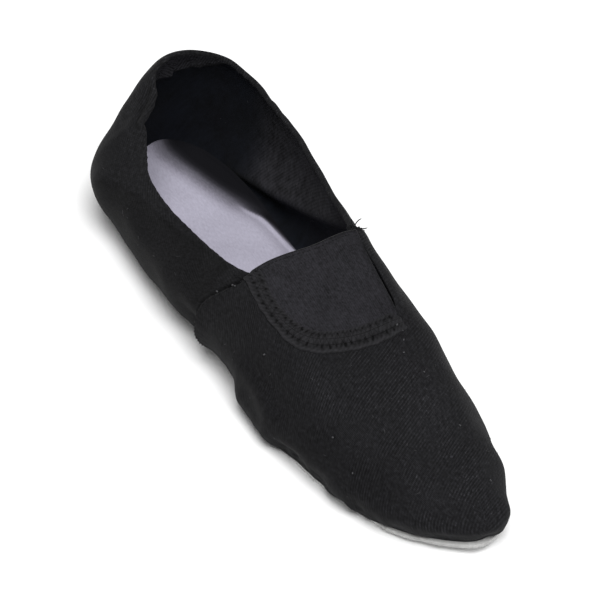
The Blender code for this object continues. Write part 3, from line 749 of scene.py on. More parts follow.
def suede_material():
    mat, nodes, links, bsdf = new_material("grey_suede", (0.52, 0.52, 0.51), 0.95, Sheen_Weight=0.25, Sheen_Roughness=0.4, Specular_IOR_Level=0.15)
    obj = add(nodes, "ShaderNodeTexCoord").outputs["Object"]
    nap = add(nodes, "ShaderNodeTexNoise")
    nap.inputs["Scale"].default_value = 650.0
    nap.inputs["Detail"].default_value = 6.0
    nap.inputs["Roughness"].default_value = 0.75
    links.new(place(nodes, links, obj, (0.7, 1.1, 1.0), 0.5), nap.inputs["Vector"])
    brush = add(nodes, "ShaderNodeTexNoise")
    brush.inputs["Scale"].default_value = 26.0
    brush.inputs["Detail"].default_value = 4.0
    brush.inputs["Distortion"].default_value = 1.2
    links.new(obj, brush.inputs["Vector"])
    tone = math_node(nodes, links, "ADD", math_node(nodes, links, "MULTIPLY", nap.outputs["Fac"], 0.55),
                     math_node(nodes, links, "MULTIPLY", brush.outputs["Fac"], 0.45))
    links.new(ramp(nodes, links, tone, ((0.25, (0.40, 0.40, 0.395)), (0.75, (0.62, 0.62, 0.61)))), bsdf.inputs["Base Color"])
    bump = add(nodes, "ShaderNodeBump")
    bump.inputs["Strength"].default_value = 0.6
    bump.inputs["Distance"].default_value = 0.0005
    links.new(nap.outputs["Fac"], bump.inputs["Height"])
    links.new(bump.outputs["Normal"], bsdf.inputs["Normal"])
    return mat


def thread_material(name, colour, colour2):
    mat, nodes, links, bsdf = new_material(name, colour, 0.85, Sheen_Weight=0.03, Specular_IOR_Level=0.12)
    obj = add(nodes, "ShaderNodeTexCoord").outputs["Object"]
    ply = add(nodes, "ShaderNodeTexNoise")
    ply.inputs["Scale"].default_value = 2500.0
    ply.inputs["Detail"].default_value = 2.0
    links.new(obj, ply.inputs["Vector"])
    links.new(ramp(nodes, links, ply.outputs["Fac"], ((0.3, colour), (0.7, colour2))), bsdf.inputs["Base Color"])
    bump = add(nodes, "ShaderNodeBump")
    bump.inputs["Strength"].default_value = 0.4
    bump.inputs["Distance"].default_value = 0.0001
    links.new(ply.outputs["Fac"], bump.inputs["Height"])
    links.new(bump.outputs["Normal"], bsdf.inputs["Normal"])
    return mat


CANVAS = canvas_material("black_canvas", (0.0084, 0.0084, 0.0094))
LINING = lining_material()
ELASTIC = elastic_material()
BAND = band_material()
FELT = felt_material()
SUEDE = suede_material()
THREAD = thread_material("black_thread", (0.005, 0.005, 0.0056), (0.011, 0.011, 0.012))
PALE = thread_material("pale_lint", (0.035, 0.035, 0.038), (0.08, 0.08, 0.084))
DUST = thread_material("grey_lint", (0.03, 0.03, 0.032), (0.08, 0.08, 0.083))

# =====================================================================
# Upper: canvas outside, turned-in hem, lining inside
# =====================================================================
HEEL_COLS, SEAM_COLS, THROAT_COLS, VAMP_COLS = 118, 46, 76, 76
WALL_ROWS = 88
CAP_ROWS = 5
COLS = HEEL_COLS + SEAM_COLS + THROAT_COLS + VAMP_COLS
OPEN_COLS = HEEL_COLS + SEAM_COLS + THROAT_COLS
COLLAR_COLS = HEEL_COLS + SEAM_COLS


def wall_columns(side):
    even = even_stations(800)
    edge = np.linspace(0, 1, 801)

    def spread(a, b, n, power=1.0):
        lo, hi = np.interp([a, b], even, edge)
        return np.interp(lo + (hi - lo) * np.linspace(0, 1, n + 1) ** power, edge, even)
    vamp_foot = GORE_FRONT + 0.085
    foot = np.concatenate([spread(0, 0.452, HEEL_COLS, 1.2)[:-1], spread(0.452, GORE_BACK, SEAM_COLS)[:-1],
                           spread(GORE_BACK, vamp_foot, THROAT_COLS)[:-1], spread(vamp_foot, 1, VAMP_COLS)])
    s, v = gore_line(side, gore_turns(side, THROAT_COLS))
    front = np.linspace(0, 1, VAMP_COLS + 1)
    head = np.concatenate([foot[:COLLAR_COLS], s[:-1], GORE_FRONT + (1 - GORE_FRONT) * (1 - (1 - front) ** 1.3)])
    high = np.concatenate([collar_height(side, foot[:COLLAR_COLS]), v[:-1], np.ones(VAMP_COLS + 1)])
    return foot, head, high


def facet_normals(verts, quads):
    out = np.zeros_like(verts)
    for tri in (quads[:, [0, 1, 2]], quads[:, [0, 2, 3]]):
        a, b, c = (verts[tri[:, k]] for k in range(3))
        face = np.cross(b - a, c - a)
        for k in range(3):
            np.add.at(out, tri[:, k], face)
    return unit(out)


# Width (mm) of the turned-in hem by station.
HEM_WIDE = {-1: ((0.0, 19.0), (0.04, 21.0), (0.08, 17.0), (0.12, 9.0), (0.20, 6.0), (0.512, 6.0)),
            1: ((0.0, 16.0), (0.02, 13.5), (0.033, 8.0), (0.045, 3.4), (0.08, 2.8), (0.10, 4.6), (0.20, 5.4), (0.512, 5.0))}
# The inner edge of the throat gapes off the elastic.
GAPE = 1.5 * MM
gape_s, gape_v = gore_line(1, np.interp(np.linspace(0, 0.72, 140), np.linspace(0, 1, 201), gore_turns(1, 200)))
GAPE_LINE = {"p": last_at(1, gape_s, gape_v), "n": last_normal(1, gape_s, gape_v), "share": np.linspace(0, 1, 140)}
GAPE_LINE["t"] = unit(np.gradient(GAPE_LINE["p"], axis=0))
GAPE_LINE["c"] = unit(np.cross(GAPE_LINE["n"], GAPE_LINE["t"]))


def gape_share(share):
    return smooth(share / 0.55) * smooth((1.0 - share) / 0.22)


# Painted shade on the outer side, darker than the top: the quarter most, from the break over the heel on, and the low
# outer vamp. Station of the break by height.
BREAK = ((0.30, 0.10), (0.36, 0.125), (0.47, 0.165), (0.565, 0.199), (0.633, 0.239), (0.66, 0.285), (0.68, 0.35), (0.70, 0.39))


def outer_side_shade(s, v):
    past = smooth((s - np.interp(v, *np.array(BREAK).T)) / 0.022 + 0.5)
    quarter = 0.14 + 0.37 * past + 0.14 * np.exp(-0.5 * ((past - 0.5) / 0.25) ** 2)
    vamp = 0.38 * smooth((0.72 - v) / 0.24) * smooth((1.02 - s) / 0.14)
    return quarter + (vamp - quarter) * smooth((s - 0.470) / 0.012)


# Frayed notch where the side seam meets the throat: side, station, height, size (mm)
NOTCHES = ((-1, 0.5135, 0.648, 1.3), (-1, 0.5095, 0.630, 1.2), (-1, 0.5035, 0.605, 0.7), (-1, 0.487, 0.538, 0.6))


def foot_tuck(s, v):
    """Move of the outer side's foot edge, in and down over the tucked edge of the sole."""
    reach = smooth((s - 0.44) / 0.12) * smooth((0.925 - s) / 0.05) * (1 - smooth(v / 0.11))
    pinch = smooth((s - 0.715) / 0.03) * smooth((0.90 - s) / 0.06)
    to_mid = sole_edge(-1, s, np.full(s.shape, MM)) - sole_edge(-1, s, np.zeros(s.shape))
    return np.concatenate([to_mid * ((0.8 + 1.3 * pinch) * reach)[..., None], -(1.8 * MM * reach)[..., None]], -1)


def build_upper():
    rows = np.linspace(0, 1, WALL_ROWS + 1)
    ease = rows * rows * (3 - 2 * rows)
    index, coords, points, moves = {}, {}, [], []
    painted_shades = []
    count = 0
    for side in (1, -1):
        foot, head, high = wall_columns(side)
        s = foot[:, None] + (head - foot)[:, None] * ease[None]
        v = high[:, None] * rows[None]
        p = last_at(side, s, v)
        grid = np.full((COLS + 1, WALL_ROWS + 1), -1)
        shared = np.zeros_like(grid, bool)
        if side < 0:
            shared[[0, COLS]] = True
            shared[OPEN_COLS:, WALL_ROWS] = True
            grid[shared] = index[1][shared]
        new = ~shared
        grid[new] = count + np.arange(new.sum())
        count += new.sum()
        d = relief(side, p, s, v).reshape(s.shape)
        flat = p.reshape(-1, 3)
        if side < 0:
            p = p + foot_tuck(s, v)
        stain_and_shade = np.zeros(len(flat))
        push = np.zeros(len(flat))
        if side > 0:
            pick, share, across = near_path(flat, GAPE_LINE, 12 * MM)
            push[pick] += GAPE * gape_share(share) * np.exp(-0.5 * (across / (3.4 * MM)) ** 2)
        # notch holes: pushed in and darkened with painted shade
        for which, ns, nv, size in NOTCHES:
            if which == side:
                away = np.linalg.norm(flat - last_at(side, ns, nv), axis=1) / MM
                hole = np.exp(-0.5 * (away / (0.75 * size)) ** 4)
                push -= 0.9 * MM * hole
                stain_and_shade = np.maximum(stain_and_shade, hole)
        # painted shade in the needle holes and in the crease along the side seam
        pick, share, across = near_path(flat, SEAM_LINE[side], 8 * MM)
        seam_mm = np.linalg.norm(np.diff(SEAM_LINE[side]["p"], axis=0), axis=1).sum() / MM
        gap = (share * seam_mm / 2.3) % 1.0 - 0.5
        dots = np.exp(-0.5 * (gap * 2.3 / 0.5) ** 2 - 0.5 * ((across / MM - 1.1) / 0.45) ** 2)
        uneven = 0.62 + 0.25 * np.sin(share * 37.0 + 1.0) * np.sin(share * 91.0)
        crease = uneven * np.exp(-0.5 * ((across / MM + 0.3) / 0.75) ** 2)
        stain_and_shade[pick] = np.maximum(stain_and_shade[pick], np.maximum(0.5 * dots, crease) * smooth((1.0 - share) / 0.05))
        # painted shade in the crease of the rim tuck
        for row in FOLD_ROWS:
            if row["name"] == "rim_tuck" and row["side"] == side:
                pick, share, across = near_path(flat, row["line"], 6 * MM)
                ends = smooth(np.minimum(share, 1 - share) / 0.2)
                stain_and_shade[pick] = np.maximum(stain_and_shade[pick], 0.55 * ends * np.exp(-0.5 * (across / (0.45 * MM)) ** 2))
        d = d + push.reshape(s.shape)
        stain_and_shade = stain_and_shade.reshape(s.shape)
        # painted shade on the outer side
        if side < 0:
            stain_and_shade = np.maximum(stain_and_shade, 0) + outer_side_shade(s, v) * (1 - stain_and_shade) * smooth(s / 0.03)
        lean = rim_shift(side, s, v)
        index[side], coords[side] = grid, (s, v)
        points.append(p[new])
        moves.append((d[new], lean[new]))
        painted_shades.append(stain_and_shade[new])
    base = np.vstack(points)
    d = np.concatenate([m[0] for m in moves])
    lean = np.vstack([m[1] for m in moves])
    shade_and_light_paint, heel_and_fold_shades = [np.concatenate(painted_shades)], [np.zeros(len(base))]
    quads = {side: grid_faces(index[side], side > 0) for side in (1, -1)}
    both = np.vstack([quads[1], quads[-1]])
    normal = facet_normals(base, both)
    outer = base + d[:, None] * normal + lean
    # even out the lines that both sides share
    normal = facet_normals(outer, both)

    verts, faces, uvs, slots = [outer], [], [], []
    total = len(outer)

    def uv_of(side, s, v, vamp):
        a, b = s * 240.0, side * (1 - v) * 95.0
        if vamp:
            p = last_at(side, s, np.clip(v, 0, 1)) / MM
            top_z = spline_at(STATIONS, RIDGE, RIDGE_BENDS, s)[..., 2] / MM
            a, b = p[..., 0], p[..., 1] + side * 0.8 * np.maximum(top_z - p[..., 2], 0)
        turn = np.where(vamp, 0.0, 0.5 * side)
        return np.stack([a * np.cos(turn) - b * np.sin(turn), a * np.sin(turn) + b * np.cos(turn)], -1)

    for side in (1, -1):
        s, v = coords[side]
        grid = index[side]
        # distance down from the rim, for the hem
        run = np.linalg.norm(np.diff(outer[grid], axis=1), axis=-1)
        down = np.concatenate([np.cumsum(run[:, ::-1], 1)[:, ::-1], np.zeros((COLS + 1, 1))], 1)
        pick, share, across = near_path(base[grid].reshape(-1, 3), SEAM_LINE[side], 30 * MM)
        vamp = (s > 0.49).ravel()
        vamp[pick] = across > 0
        vamp = vamp.reshape(s.shape)
        q = grid_faces(grid, side > 0)
        corner = uv_of(side, s, v, False)
        corner_v = uv_of(side, s, v, True)
        order = np.arange(grid.size).reshape(grid.shape)
        cells = grid_faces(order, side > 0)
        is_vamp = vamp.ravel()[cells].mean(1) > 0.5
        uv = np.where(is_vamp[:, None, None], corner_v.reshape(-1, 2)[cells], corner.reshape(-1, 2)[cells])
        faces.append(q)
        uvs.append(uv)
        slots.append(np.zeros(len(q), int))
        # inner face
        keep = np.arange(0, WALL_ROWS + 1, 2)
        thick = np.full(grid.shape, WALL)
        collar = np.arange(COLS + 1) <= COLLAR_COLS
        wide = np.interp(s, *np.array(HEM_WIDE[side]).T) + 0.5 * np.sin(s * 240 * 0.9 + 1.5 * np.sin(s * 240 * 0.23)) + 0.3 * np.sin(s * 240 * 2.7)
        hem = smooth((wide * MM - down) / (0.9 * MM)) * collar[:, None]
        wavy = 1 + 0.25 * np.sin(s * 240 * 1.3 + 2 * np.sin(s * 240 * 0.31))
        thick = thick + 0.8 * MM * hem * wavy - 0.25 * MM * np.exp(-0.5 * ((down - wide * MM) / (0.8 * MM)) ** 2) * collar[:, None]
        if side > 0:
            throat = np.arange(COLS + 1) > COLLAR_COLS
            thick = thick - 0.75 * MM * smooth((5 * MM - down) / (4 * MM)) * throat[:, None]
        inner_points = outer[grid] - thick[..., None] * normal[grid]
        inner_points[..., 2] = np.maximum(inner_points[..., 2], 2.35 * MM)
        inner_points = inner_points[:, keep]
        inner = total + np.arange(inner_points[..., 0].size).reshape(inner_points.shape[:2])
        total += inner.size
        verts.append(inner_points.reshape(-1, 3))
        # painted light on the turned-in hem, strongest at the heel where the collar curls into shade
        hem_light = 0.5 * smooth((0.16 - s) / 0.08) + 0.35
        hem_light_reach = 1.0 if side < 0 else smooth((wide * MM - down) / (4 * MM)) + 0.6 * smooth((0.03 - s) / 0.02)
        shade_and_light_paint.append((-hem_light * hem * np.minimum(hem_light_reach, 1.0))[:, keep].ravel())
        # heel lining; on the inner side also painted shade under the fold, in the heel lining's dark colour
        heel_and_fold_mask = smooth(((0.20 if side > 0 else 0.25) - s - 0.05 * v) / 0.09)
        if side > 0:
            fold = np.interp(s, [0.06, 0.116, 0.205, 0.304, 0.388, 0.45, 0.52], [0.15, 0.16, 0.25, 0.395, 0.52, 0.61, 0.66])
            heel_and_fold_mask = np.maximum(heel_and_fold_mask, smooth((fold - v) / 0.05 + 0.4) * smooth((0.56 - s) / 0.04))
        heel_and_fold_shades.append(heel_and_fold_mask[:, keep].ravel())
        q = grid_faces(inner, side < 0)
        su, vu = s[:, keep], v[:, keep]
        uv = uv_of(side, su, vu, True).reshape(-1, 2)[grid_faces(np.arange(inner.size).reshape(inner.shape), side < 0)]
        in_hem = (hem[:, keep].ravel()[grid_faces(np.arange(inner.size).reshape(inner.shape), side < 0)].mean(1) > 0.5)
        faces.append(q)
        uvs.append(uv)
        slots.append(np.where(in_hem, 0, 1))
        # rounded edge of the collar, plain edge at the throat
        a, b = outer[grid[:OPEN_COLS + 1, -1]], inner_points[:OPEN_COLS + 1, -1]
        up = unit(outer[grid[:OPEN_COLS + 1, -1]] - outer[grid[:OPEN_COLS + 1, -2]])
        mid, half = (a + b) / 2, (a - b) / 2
        round_up = np.where(np.arange(OPEN_COLS + 1) <= COLLAR_COLS, 1.0, 0.25)
        ring = [grid[:OPEN_COLS + 1, -1]]
        for k in range(1, CAP_ROWS):
            ang = np.pi * k / CAP_ROWS
            p = mid + half * np.cos(ang) + up * (np.linalg.norm(half, axis=1) * np.sin(ang) * round_up)[:, None]
            ring.append(total + np.arange(len(p)))
            total += len(p)
            verts.append(p)
            shade_and_light_paint.append(np.zeros(len(p)))
            heel_and_fold_shades.append(np.zeros(len(p)))
        ring.append(inner[:OPEN_COLS + 1, -1])
        ring = np.stack(ring, 1)
        q = grid_faces(ring, side > 0)
        su = np.repeat(s[:OPEN_COLS + 1, -1:], CAP_ROWS + 1, 1)
        vu = v[:OPEN_COLS + 1, -1:] + np.linspace(0, 0.03, CAP_ROWS + 1)[None]
        uv = uv_of(side, su, vu, False).reshape(-1, 2)[grid_faces(np.arange(ring.size).reshape(ring.shape), side > 0)]
        faces.append(q)
        uvs.append(uv)
        slots.append(np.zeros(len(q), int))
        # foot edge, down on the sole
        ring = np.stack([inner[:, 0], grid[:, 0]], 1)
        q = grid_faces(ring, side > 0)
        su = np.repeat(s[:, :1], 2, 1)
        uv = uv_of(side, su, np.zeros_like(su), True).reshape(-1, 2)[grid_faces(np.arange(ring.size).reshape(ring.shape), side > 0)]
        faces.append(q)
        uvs.append(uv)
        slots.append(np.zeros(len(q), int))
    faces, uvs, slots = np.vstack(faces), np.concatenate(uvs), np.concatenate(slots)
    clean, keep = tidy(faces)
    uv = np.concatenate([uvs[k][j] for k, j in keep])
    obj = mesh_object("canvas_upper", np.vstack(verts), clean, uv, (CANVAS, LINING), [slots[k] for k, j in keep],
                      {"dark": np.concatenate(shade_and_light_paint), "heel": np.concatenate(heel_and_fold_shades)})
    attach(obj, "root")
    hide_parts("upper")
    return obj


upper = build_upper()


# =====================================================================
# Elastic gore
# =====================================================================
def build_gore():
    cols, rows = 84, 44
    share = np.linspace(0, 1, rows + 1)
    index, points, shades, uv_rows = {}, [], [], {}
    count = 0
    for side in (1, -1):
        s0, v0 = gore_line(side, gore_turns(side, cols))
        ridge_s = GORE_BACK + (GORE_FRONT - GORE_BACK) * np.linspace(0, 1, cols + 1) ** 0.9
        ridge_s[-1] = GORE_FRONT
        s = s0[:, None] + (ridge_s - s0)[:, None] * share[None]
        v = v0[:, None] + (1 - v0)[:, None] * share[None]
        p = last_at(side, s, v)
        n = last_normal(side, s, v)
        d = relief(side, p, s, v).reshape(s.shape)
        away = np.linalg.norm(p - p[:, :1], axis=-1) / MM
        # the inner side's edge dives under the gaping canvas
        lip = np.zeros_like(away)
        if side > 0:
            dive = np.interp(np.linspace(0, 1, cols + 1), np.linspace(0, 0.72, 140), gape_share(GAPE_LINE["share"]), right=0.0)
            lip = dive[:, None] * (-0.7 * np.exp(-0.5 * (away / 0.9) ** 2) + 0.35 * np.exp(-0.5 * ((away - 3.2) / 1.5) ** 2))
        back = np.abs(s - GORE_BACK) * 240.0
        hem = 0.22 * smooth((3.4 - back) / 0.8) - 0.22 * np.exp(-0.5 * ((back - 1.5) / 0.35) ** 2)
        p = p + (d + (0.25 + lip + hem) * MM)[..., None] * n + rim_shift(side, s, v)
        grid = np.full((cols + 1, rows + 1), -1)
        shared = np.zeros_like(grid, bool)
        if side < 0:
            shared[:, rows] = True
            grid[shared] = index[1][shared]
        new = ~shared
        grid[new] = count + np.arange(new.sum())
        count += new.sum()
        index[side] = grid
        points.append(p[new])
        # painted shade: the inner half darker towards its edge, the outer half a little lighter
        shades.append((0.07 + 0.08 * side * (1 - share[None] + 0 * s))[new])
        uv_rows[side] = np.stack([s * 240.0, side * (1 - v) * 95.0], -1)
    base = np.vstack(points)
    quads = np.vstack([grid_faces(index[side], side > 0) for side in (1, -1)])
    normal = facet_normals(base, quads)
    inner = base - 1.0 * MM * normal
    n = len(base)
    faces, uvs = [], []
    for side in (1, -1):
        cells = np.arange(index[side].size).reshape(index[side].shape)
        for shift, flip in ((0, side > 0), (n, side < 0)):
            faces.append(grid_faces(index[side] + shift, flip))
            uvs.append(uv_rows[side].reshape(-1, 2)[grid_faces(cells, flip)])
    # rounded back edge
    line = np.concatenate([index[1][0], index[-1][0][::-1][1:]])
    a, b = base[line], inner[line]
    mid, half = (a + b) / 2, (a - b) / 2
    out = np.array([-1.0, 0, 0])
    verts, ring = [base, inner], [line]
    total = 2 * n
    for k in range(1, 6):
        ang = np.pi * k / 6
        verts.append(mid + half * np.cos(ang) + out * (np.linalg.norm(half, axis=1) * np.sin(ang))[:, None])
        ring.append(total + np.arange(len(line)))
        total += len(line)
    ring.append(line + n)
    ring = np.stack(ring, 1)
    y = np.concatenate([uv_rows[1][0], uv_rows[-1][0][::-1][1:]])
    wide = np.repeat(y[:, None], ring.shape[1], 1) - np.stack([np.linspace(0, 1.6, ring.shape[1]), np.zeros(ring.shape[1])], -1)[None]
    faces.append(grid_faces(ring, False))
    uvs.append(wide.reshape(-1, 2)[grid_faces(np.arange(ring.size).reshape(ring.shape), False)])
    # sides
    for side in (1, -1):
        line = index[side][:, 0]
        ring = np.stack([line, line + n], 1)
        w = np.repeat(uv_rows[side][:, :1], 2, 1)
        faces.append(grid_faces(ring, side < 0))
        uvs.append(w.reshape(-1, 2)[grid_faces(np.arange(ring.size).reshape(ring.shape), side < 0)])
    faces, uvs = np.vstack(faces), np.concatenate(uvs)
    clean, keep = tidy(faces)
    shade = np.concatenate(shades)
    # painted shade on the rounded back edge
    shade = np.concatenate([shade, shade, np.full(total - 2 * n, 0.05)])
    obj = mesh_object("elastic_gore_panel", np.vstack(verts), clean, np.concatenate([uvs[k][j] for k, j in keep]), (ELASTIC,), floats={"dark": shade})
    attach(obj, "root")
    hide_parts("elastic_gore")
    return obj


gore = build_gore()


# =====================================================================
# Stitched band round the gore
# =====================================================================
# The band runs straight on over the inner side past the gore's corner.
BAND_INNER = ((0.6665, 0.735), (0.6685, 0.80), (0.6705, 0.90), (0.672, 1.0))


def throat_track(n_lat, n_med):
    """Gore line from the lateral back corner round the front: side, s, v, outward step."""
    parts = []
    for side, n in ((-1, n_lat), (1, n_med)):
        if side < 0:
            turn = np.interp(np.linspace(0, 1, n), np.linspace(0, 1, 201), gore_turns(side, 200))
            s, v = gore_line(side, turn)
        else:
            v = np.linspace(BAND_INNER[0][1], 1.0, n)
            s = np.interp(v, [row[1] for row in BAND_INNER], [row[0] for row in BAND_INNER])
        hi = 1.0
        p = last_at(side, s, v)
        along = unit(np.gradient(p, axis=0))
        normal = last_normal(side, s, v)
        out = np.cross(normal, along)
        centre = last_at(side, np.full(n, 0.58), np.full(n, 0.97))
        out = unit(out * np.where(((p - centre) * out).sum(1) > 0, 1, -1)[:, None])
        if hi == 1.0:
            blend = smooth((np.linspace(0, 1, n) - 0.9) / 0.1)[:, None]
            ahead = unit(spline_at(STATIONS, RIDGE, RIDGE_BENDS, s, True))
            out = unit(out * (1 - blend) + ahead * blend)
        # station and height steps per metre outwards
        h = 0.002
        ps = (last_at(side, s + h, v) - last_at(side, s - h, v)) / (2 * h)
        vv = np.clip(v, h, 1 - h)
        pv = (last_at(side, s, vv + h) - last_at(side, s, vv - h)) / (2 * h)
        a11, a12, a22 = (ps * ps).sum(1), (ps * pv).sum(1), (pv * pv).sum(1)
        b1, b2 = (ps * out).sum(1), (pv * out).sum(1)
        det = a11 * a22 - a12 ** 2
        ds, dv = (a22 * b1 - a12 * b2) / det, (a11 * b2 - a12 * b1) / det
        rows = np.stack([np.full(n, side), s, v, ds, dv], 1)
        parts.append(rows if side < 0 else rows[::-1])
    return np.vstack([parts[0], parts[1][1:]])


def track_points(track, d, lift):
    """Points d (mm) outwards of the gore line, lifted (mm) off the cloth."""
    front = np.where(track[:, 0] < 0, smooth((track[:, 1] - 0.60) / 0.068), 0.3 + 0.7 * smooth((track[:, 2] - 0.74) / 0.2))
    d = d + BAND_FRONT * front * smooth((d - BAND_ROWS[0]) / 4.6)
    side, s, v = track[:, 0], track[:, 1] + track[:, 3] * d * MM, np.clip(track[:, 2] + track[:, 4] * d * MM, 0, 1)
    p, n = np.zeros((len(track), 3)), np.zeros((len(track), 3))
    for k in (1, -1):
        m = side == k
        if m.any():
            p[m], n[m] = skin(k, s[m], v[m], np.broadcast_to(lift, (len(track),))[m] * MM)
    return p, n


# across the band: distance outwards from the gore's line (mm), height off the cloth (mm)
BAND_PROFILE = ((-4.9, 0.1), (-4.7, 0.36), (-4.4, 0.52), (-3.9, 0.60), (-2.0, 0.63), (-0.6, 0.63), (0.3, 0.64), (0.7, 0.70), (1.0, 0.86),
                (1.25, 0.94), (1.5, 0.90), (1.7, 0.70), (1.82, 0.35), (1.86, -0.3))
BAND_ROWS = (-3.35, -0.3)       # the two rows of needle holes (mm)
BAND_FRONT = 2.6                # the band is wider by this over the front (mm)
STITCH = 2.95                   # pitch of the holes along a row (mm)
BAND_SECTION = np.unique(np.concatenate([np.arange(-4.4, 0.7, 0.2), [row[0] for row in BAND_PROFILE]]))


def build_band():
    track = throat_track(420, 130)
    p0, _ = track_points(track, 0.0, 0.0)
    run = np.concatenate([[0], np.cumsum(np.linalg.norm(np.diff(p0, axis=0), axis=1))]) / MM
    end = smooth((run[-1] - run) / 9.0) * smooth(run / 0.8 + 0.4)
    uneven = 1 + 0.10 * np.sin(run * 0.55) + 0.06 * np.sin(run * 1.7 + 1)
    rows, hole_and_lip_paint = [], []
    for d in BAND_SECTION:
        h = np.interp(d, *np.array(BAND_PROFILE).T)
        # two staggered rows of needle holes, with fainter ones between, darkened with painted shade
        pit = np.zeros(len(track))
        for row, phase in zip(BAND_ROWS, (0.0, 0.5)):
            for half, deep in ((0.0, 1.0), (0.5, 0.45)):
                gap = (run / STITCH + phase + half + 0.10 * np.sin(run * 0.8 + row) + 0.07 * np.sin(run * 2.3 + 2 * row)) % 1.0 - 0.5
                aside = 0.22 * np.sin(run * 1.9 + 3 * row + half)
                uneven_hole = 0.78 + 0.22 * np.sin(run * 1.37 + row * 2)
                pit = np.maximum(pit, deep * uneven_hole * np.exp(-0.5 * ((gap * STITCH) / 0.55) ** 2 - 0.5 * ((d - row - aside) / 0.52) ** 2))
        # painted highlight along the raised lip
        lip = np.exp(-0.5 * ((d - 1.15) / 0.36) ** 2) * smooth((run - 9) / 9) * (0.75 + 0.25 * np.sin(run * 0.83) * np.sin(run * 2.1))
        hole_and_lip_paint.append((1.3 * pit - 0.30 * lip) * end)
        wobble = 0.14 * np.sin(run * 0.9 + 0.6 * np.sin(run * 0.37))
        rows.append(track_points(track, d + (wobble if d > 0.6 else 0.0), (h * uneven - 0.26 * pit) * end - 0.35 * (1 - end))[0])
    verts = np.stack(rows, 1)
    grid = np.arange(verts[..., 0].size).reshape(verts.shape[:2])
    uv = np.stack([np.repeat(run[:, None], len(BAND_SECTION), 1), np.repeat(BAND_SECTION[None], len(run), 0)], -1)
    q = grid_faces(grid, False)
    obj = mesh_object("gore_band", verts.reshape(-1, 3), q, uv.reshape(-1, 2)[q].reshape(-1, 2), (BAND,), floats={"pit": np.stack(hole_and_lip_paint, 1).ravel()})
    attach(obj, "root")
    return obj, track, run, end


band, TRACK, TRACK_RUN, TRACK_END = build_band()


# =====================================================================
# Stitches, loose threads and lint
# =====================================================================
def on_track(at, d, lift):
    """Points at run lengths (mm) along the band, d outwards, lifted."""
    rows = np.stack([np.interp(at, TRACK_RUN, TRACK[:, k]) for k in range(5)], 1)
    rows[:, 0] = np.where(rows[:, 0] < 0, -1, 1)
    return track_points(rows, d, lift)[0]


def build_stitches():
    lines, radii = [], []
    # zigzag over the band
    a = np.arange(0.5 * STITCH, TRACK_RUN[-1] - 7.0, 0.5 * STITCH)
    d = np.where(np.arange(len(a)) % 2 == 0, BAND_ROWS[0], BAND_ROWS[1])
    for k in range(len(a) - 1):
        t = np.linspace(0.1, 0.9, 6)
        at, dd = a[k] + (a[k + 1] - a[k]) * t, d[k] + (d[k + 1] - d[k]) * t
        lines.append(np.stack([on_track(np.array([x]), y, 0.48 + 0.12 * np.sin(np.pi * u))[0] for x, y, u in zip(at, dd, t)]))
        radii.append(0.12 * MM)
    # back edge of the gore
    for side in (1, -1):
        v = np.linspace(GORE_V[side] + 0.05, 0.995, 13 if side < 0 else 12)
        for k in range(len(v) - 1):
            t = np.linspace(0.12, 0.75, 4)
            vv = v[k] + (v[k + 1] - v[k]) * t
            p, n = skin(side, np.full(4, GORE_BACK + 1.5 / 240), vv, 0.0)
            lines.append(p + (0.26 + 0.16 * np.sin(np.pi * t))[:, None] * MM * n)
            radii.append(0.17 * MM)
    # side seams
    for side in (1, -1):
        line = SEAM_LINE[side]
        sv = np.stack([line["s"], line["v"]], 1)
        total = np.linalg.norm(np.diff(line["p"], axis=0), axis=1).sum() / MM
        count = int(total / 2.3)
        for k in range(count):
            u = (k + np.linspace(0.1, 0.72, 4)) / count
            if u[-1] > 0.97:
                continue
            s = np.interp(u, line["share"], sv[:, 0]) + 0.0046
            v = np.interp(u, line["share"], sv[:, 1])
            p, n = skin(side, s, v, 0.0)
            lines.append(p + (0.06 + 0.12 * np.sin(np.pi * (u - u[0]) / (u[-1] - u[0])))[:, None] * MM * n)
            radii.append(0.15 * MM)
    verts, faces = tubes(lines, radii)
    obj = mesh_object("stitches", verts, faces, None, (THREAD,))
    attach(obj, "root")
    return obj


stitches = build_stitches()

# Pale lint: side, station, height of the plainest specks
LINT = ((-1, 0.625, 0.544), (1, 0.671, 0.84), (1, 0.681, 0.828), (1, 0.695, 0.852), (1, 0.713, 0.888), (-1, 0.797, 0.572), (-1, 0.855, 0.488),
        (1, 0.963, 0.592), (1, 0.751, 0.845), (1, 0.867, 0.784), (-1, 0.505, 0.62), (-1, 0.514, 0.625), (-1, 0.489, 0.565))


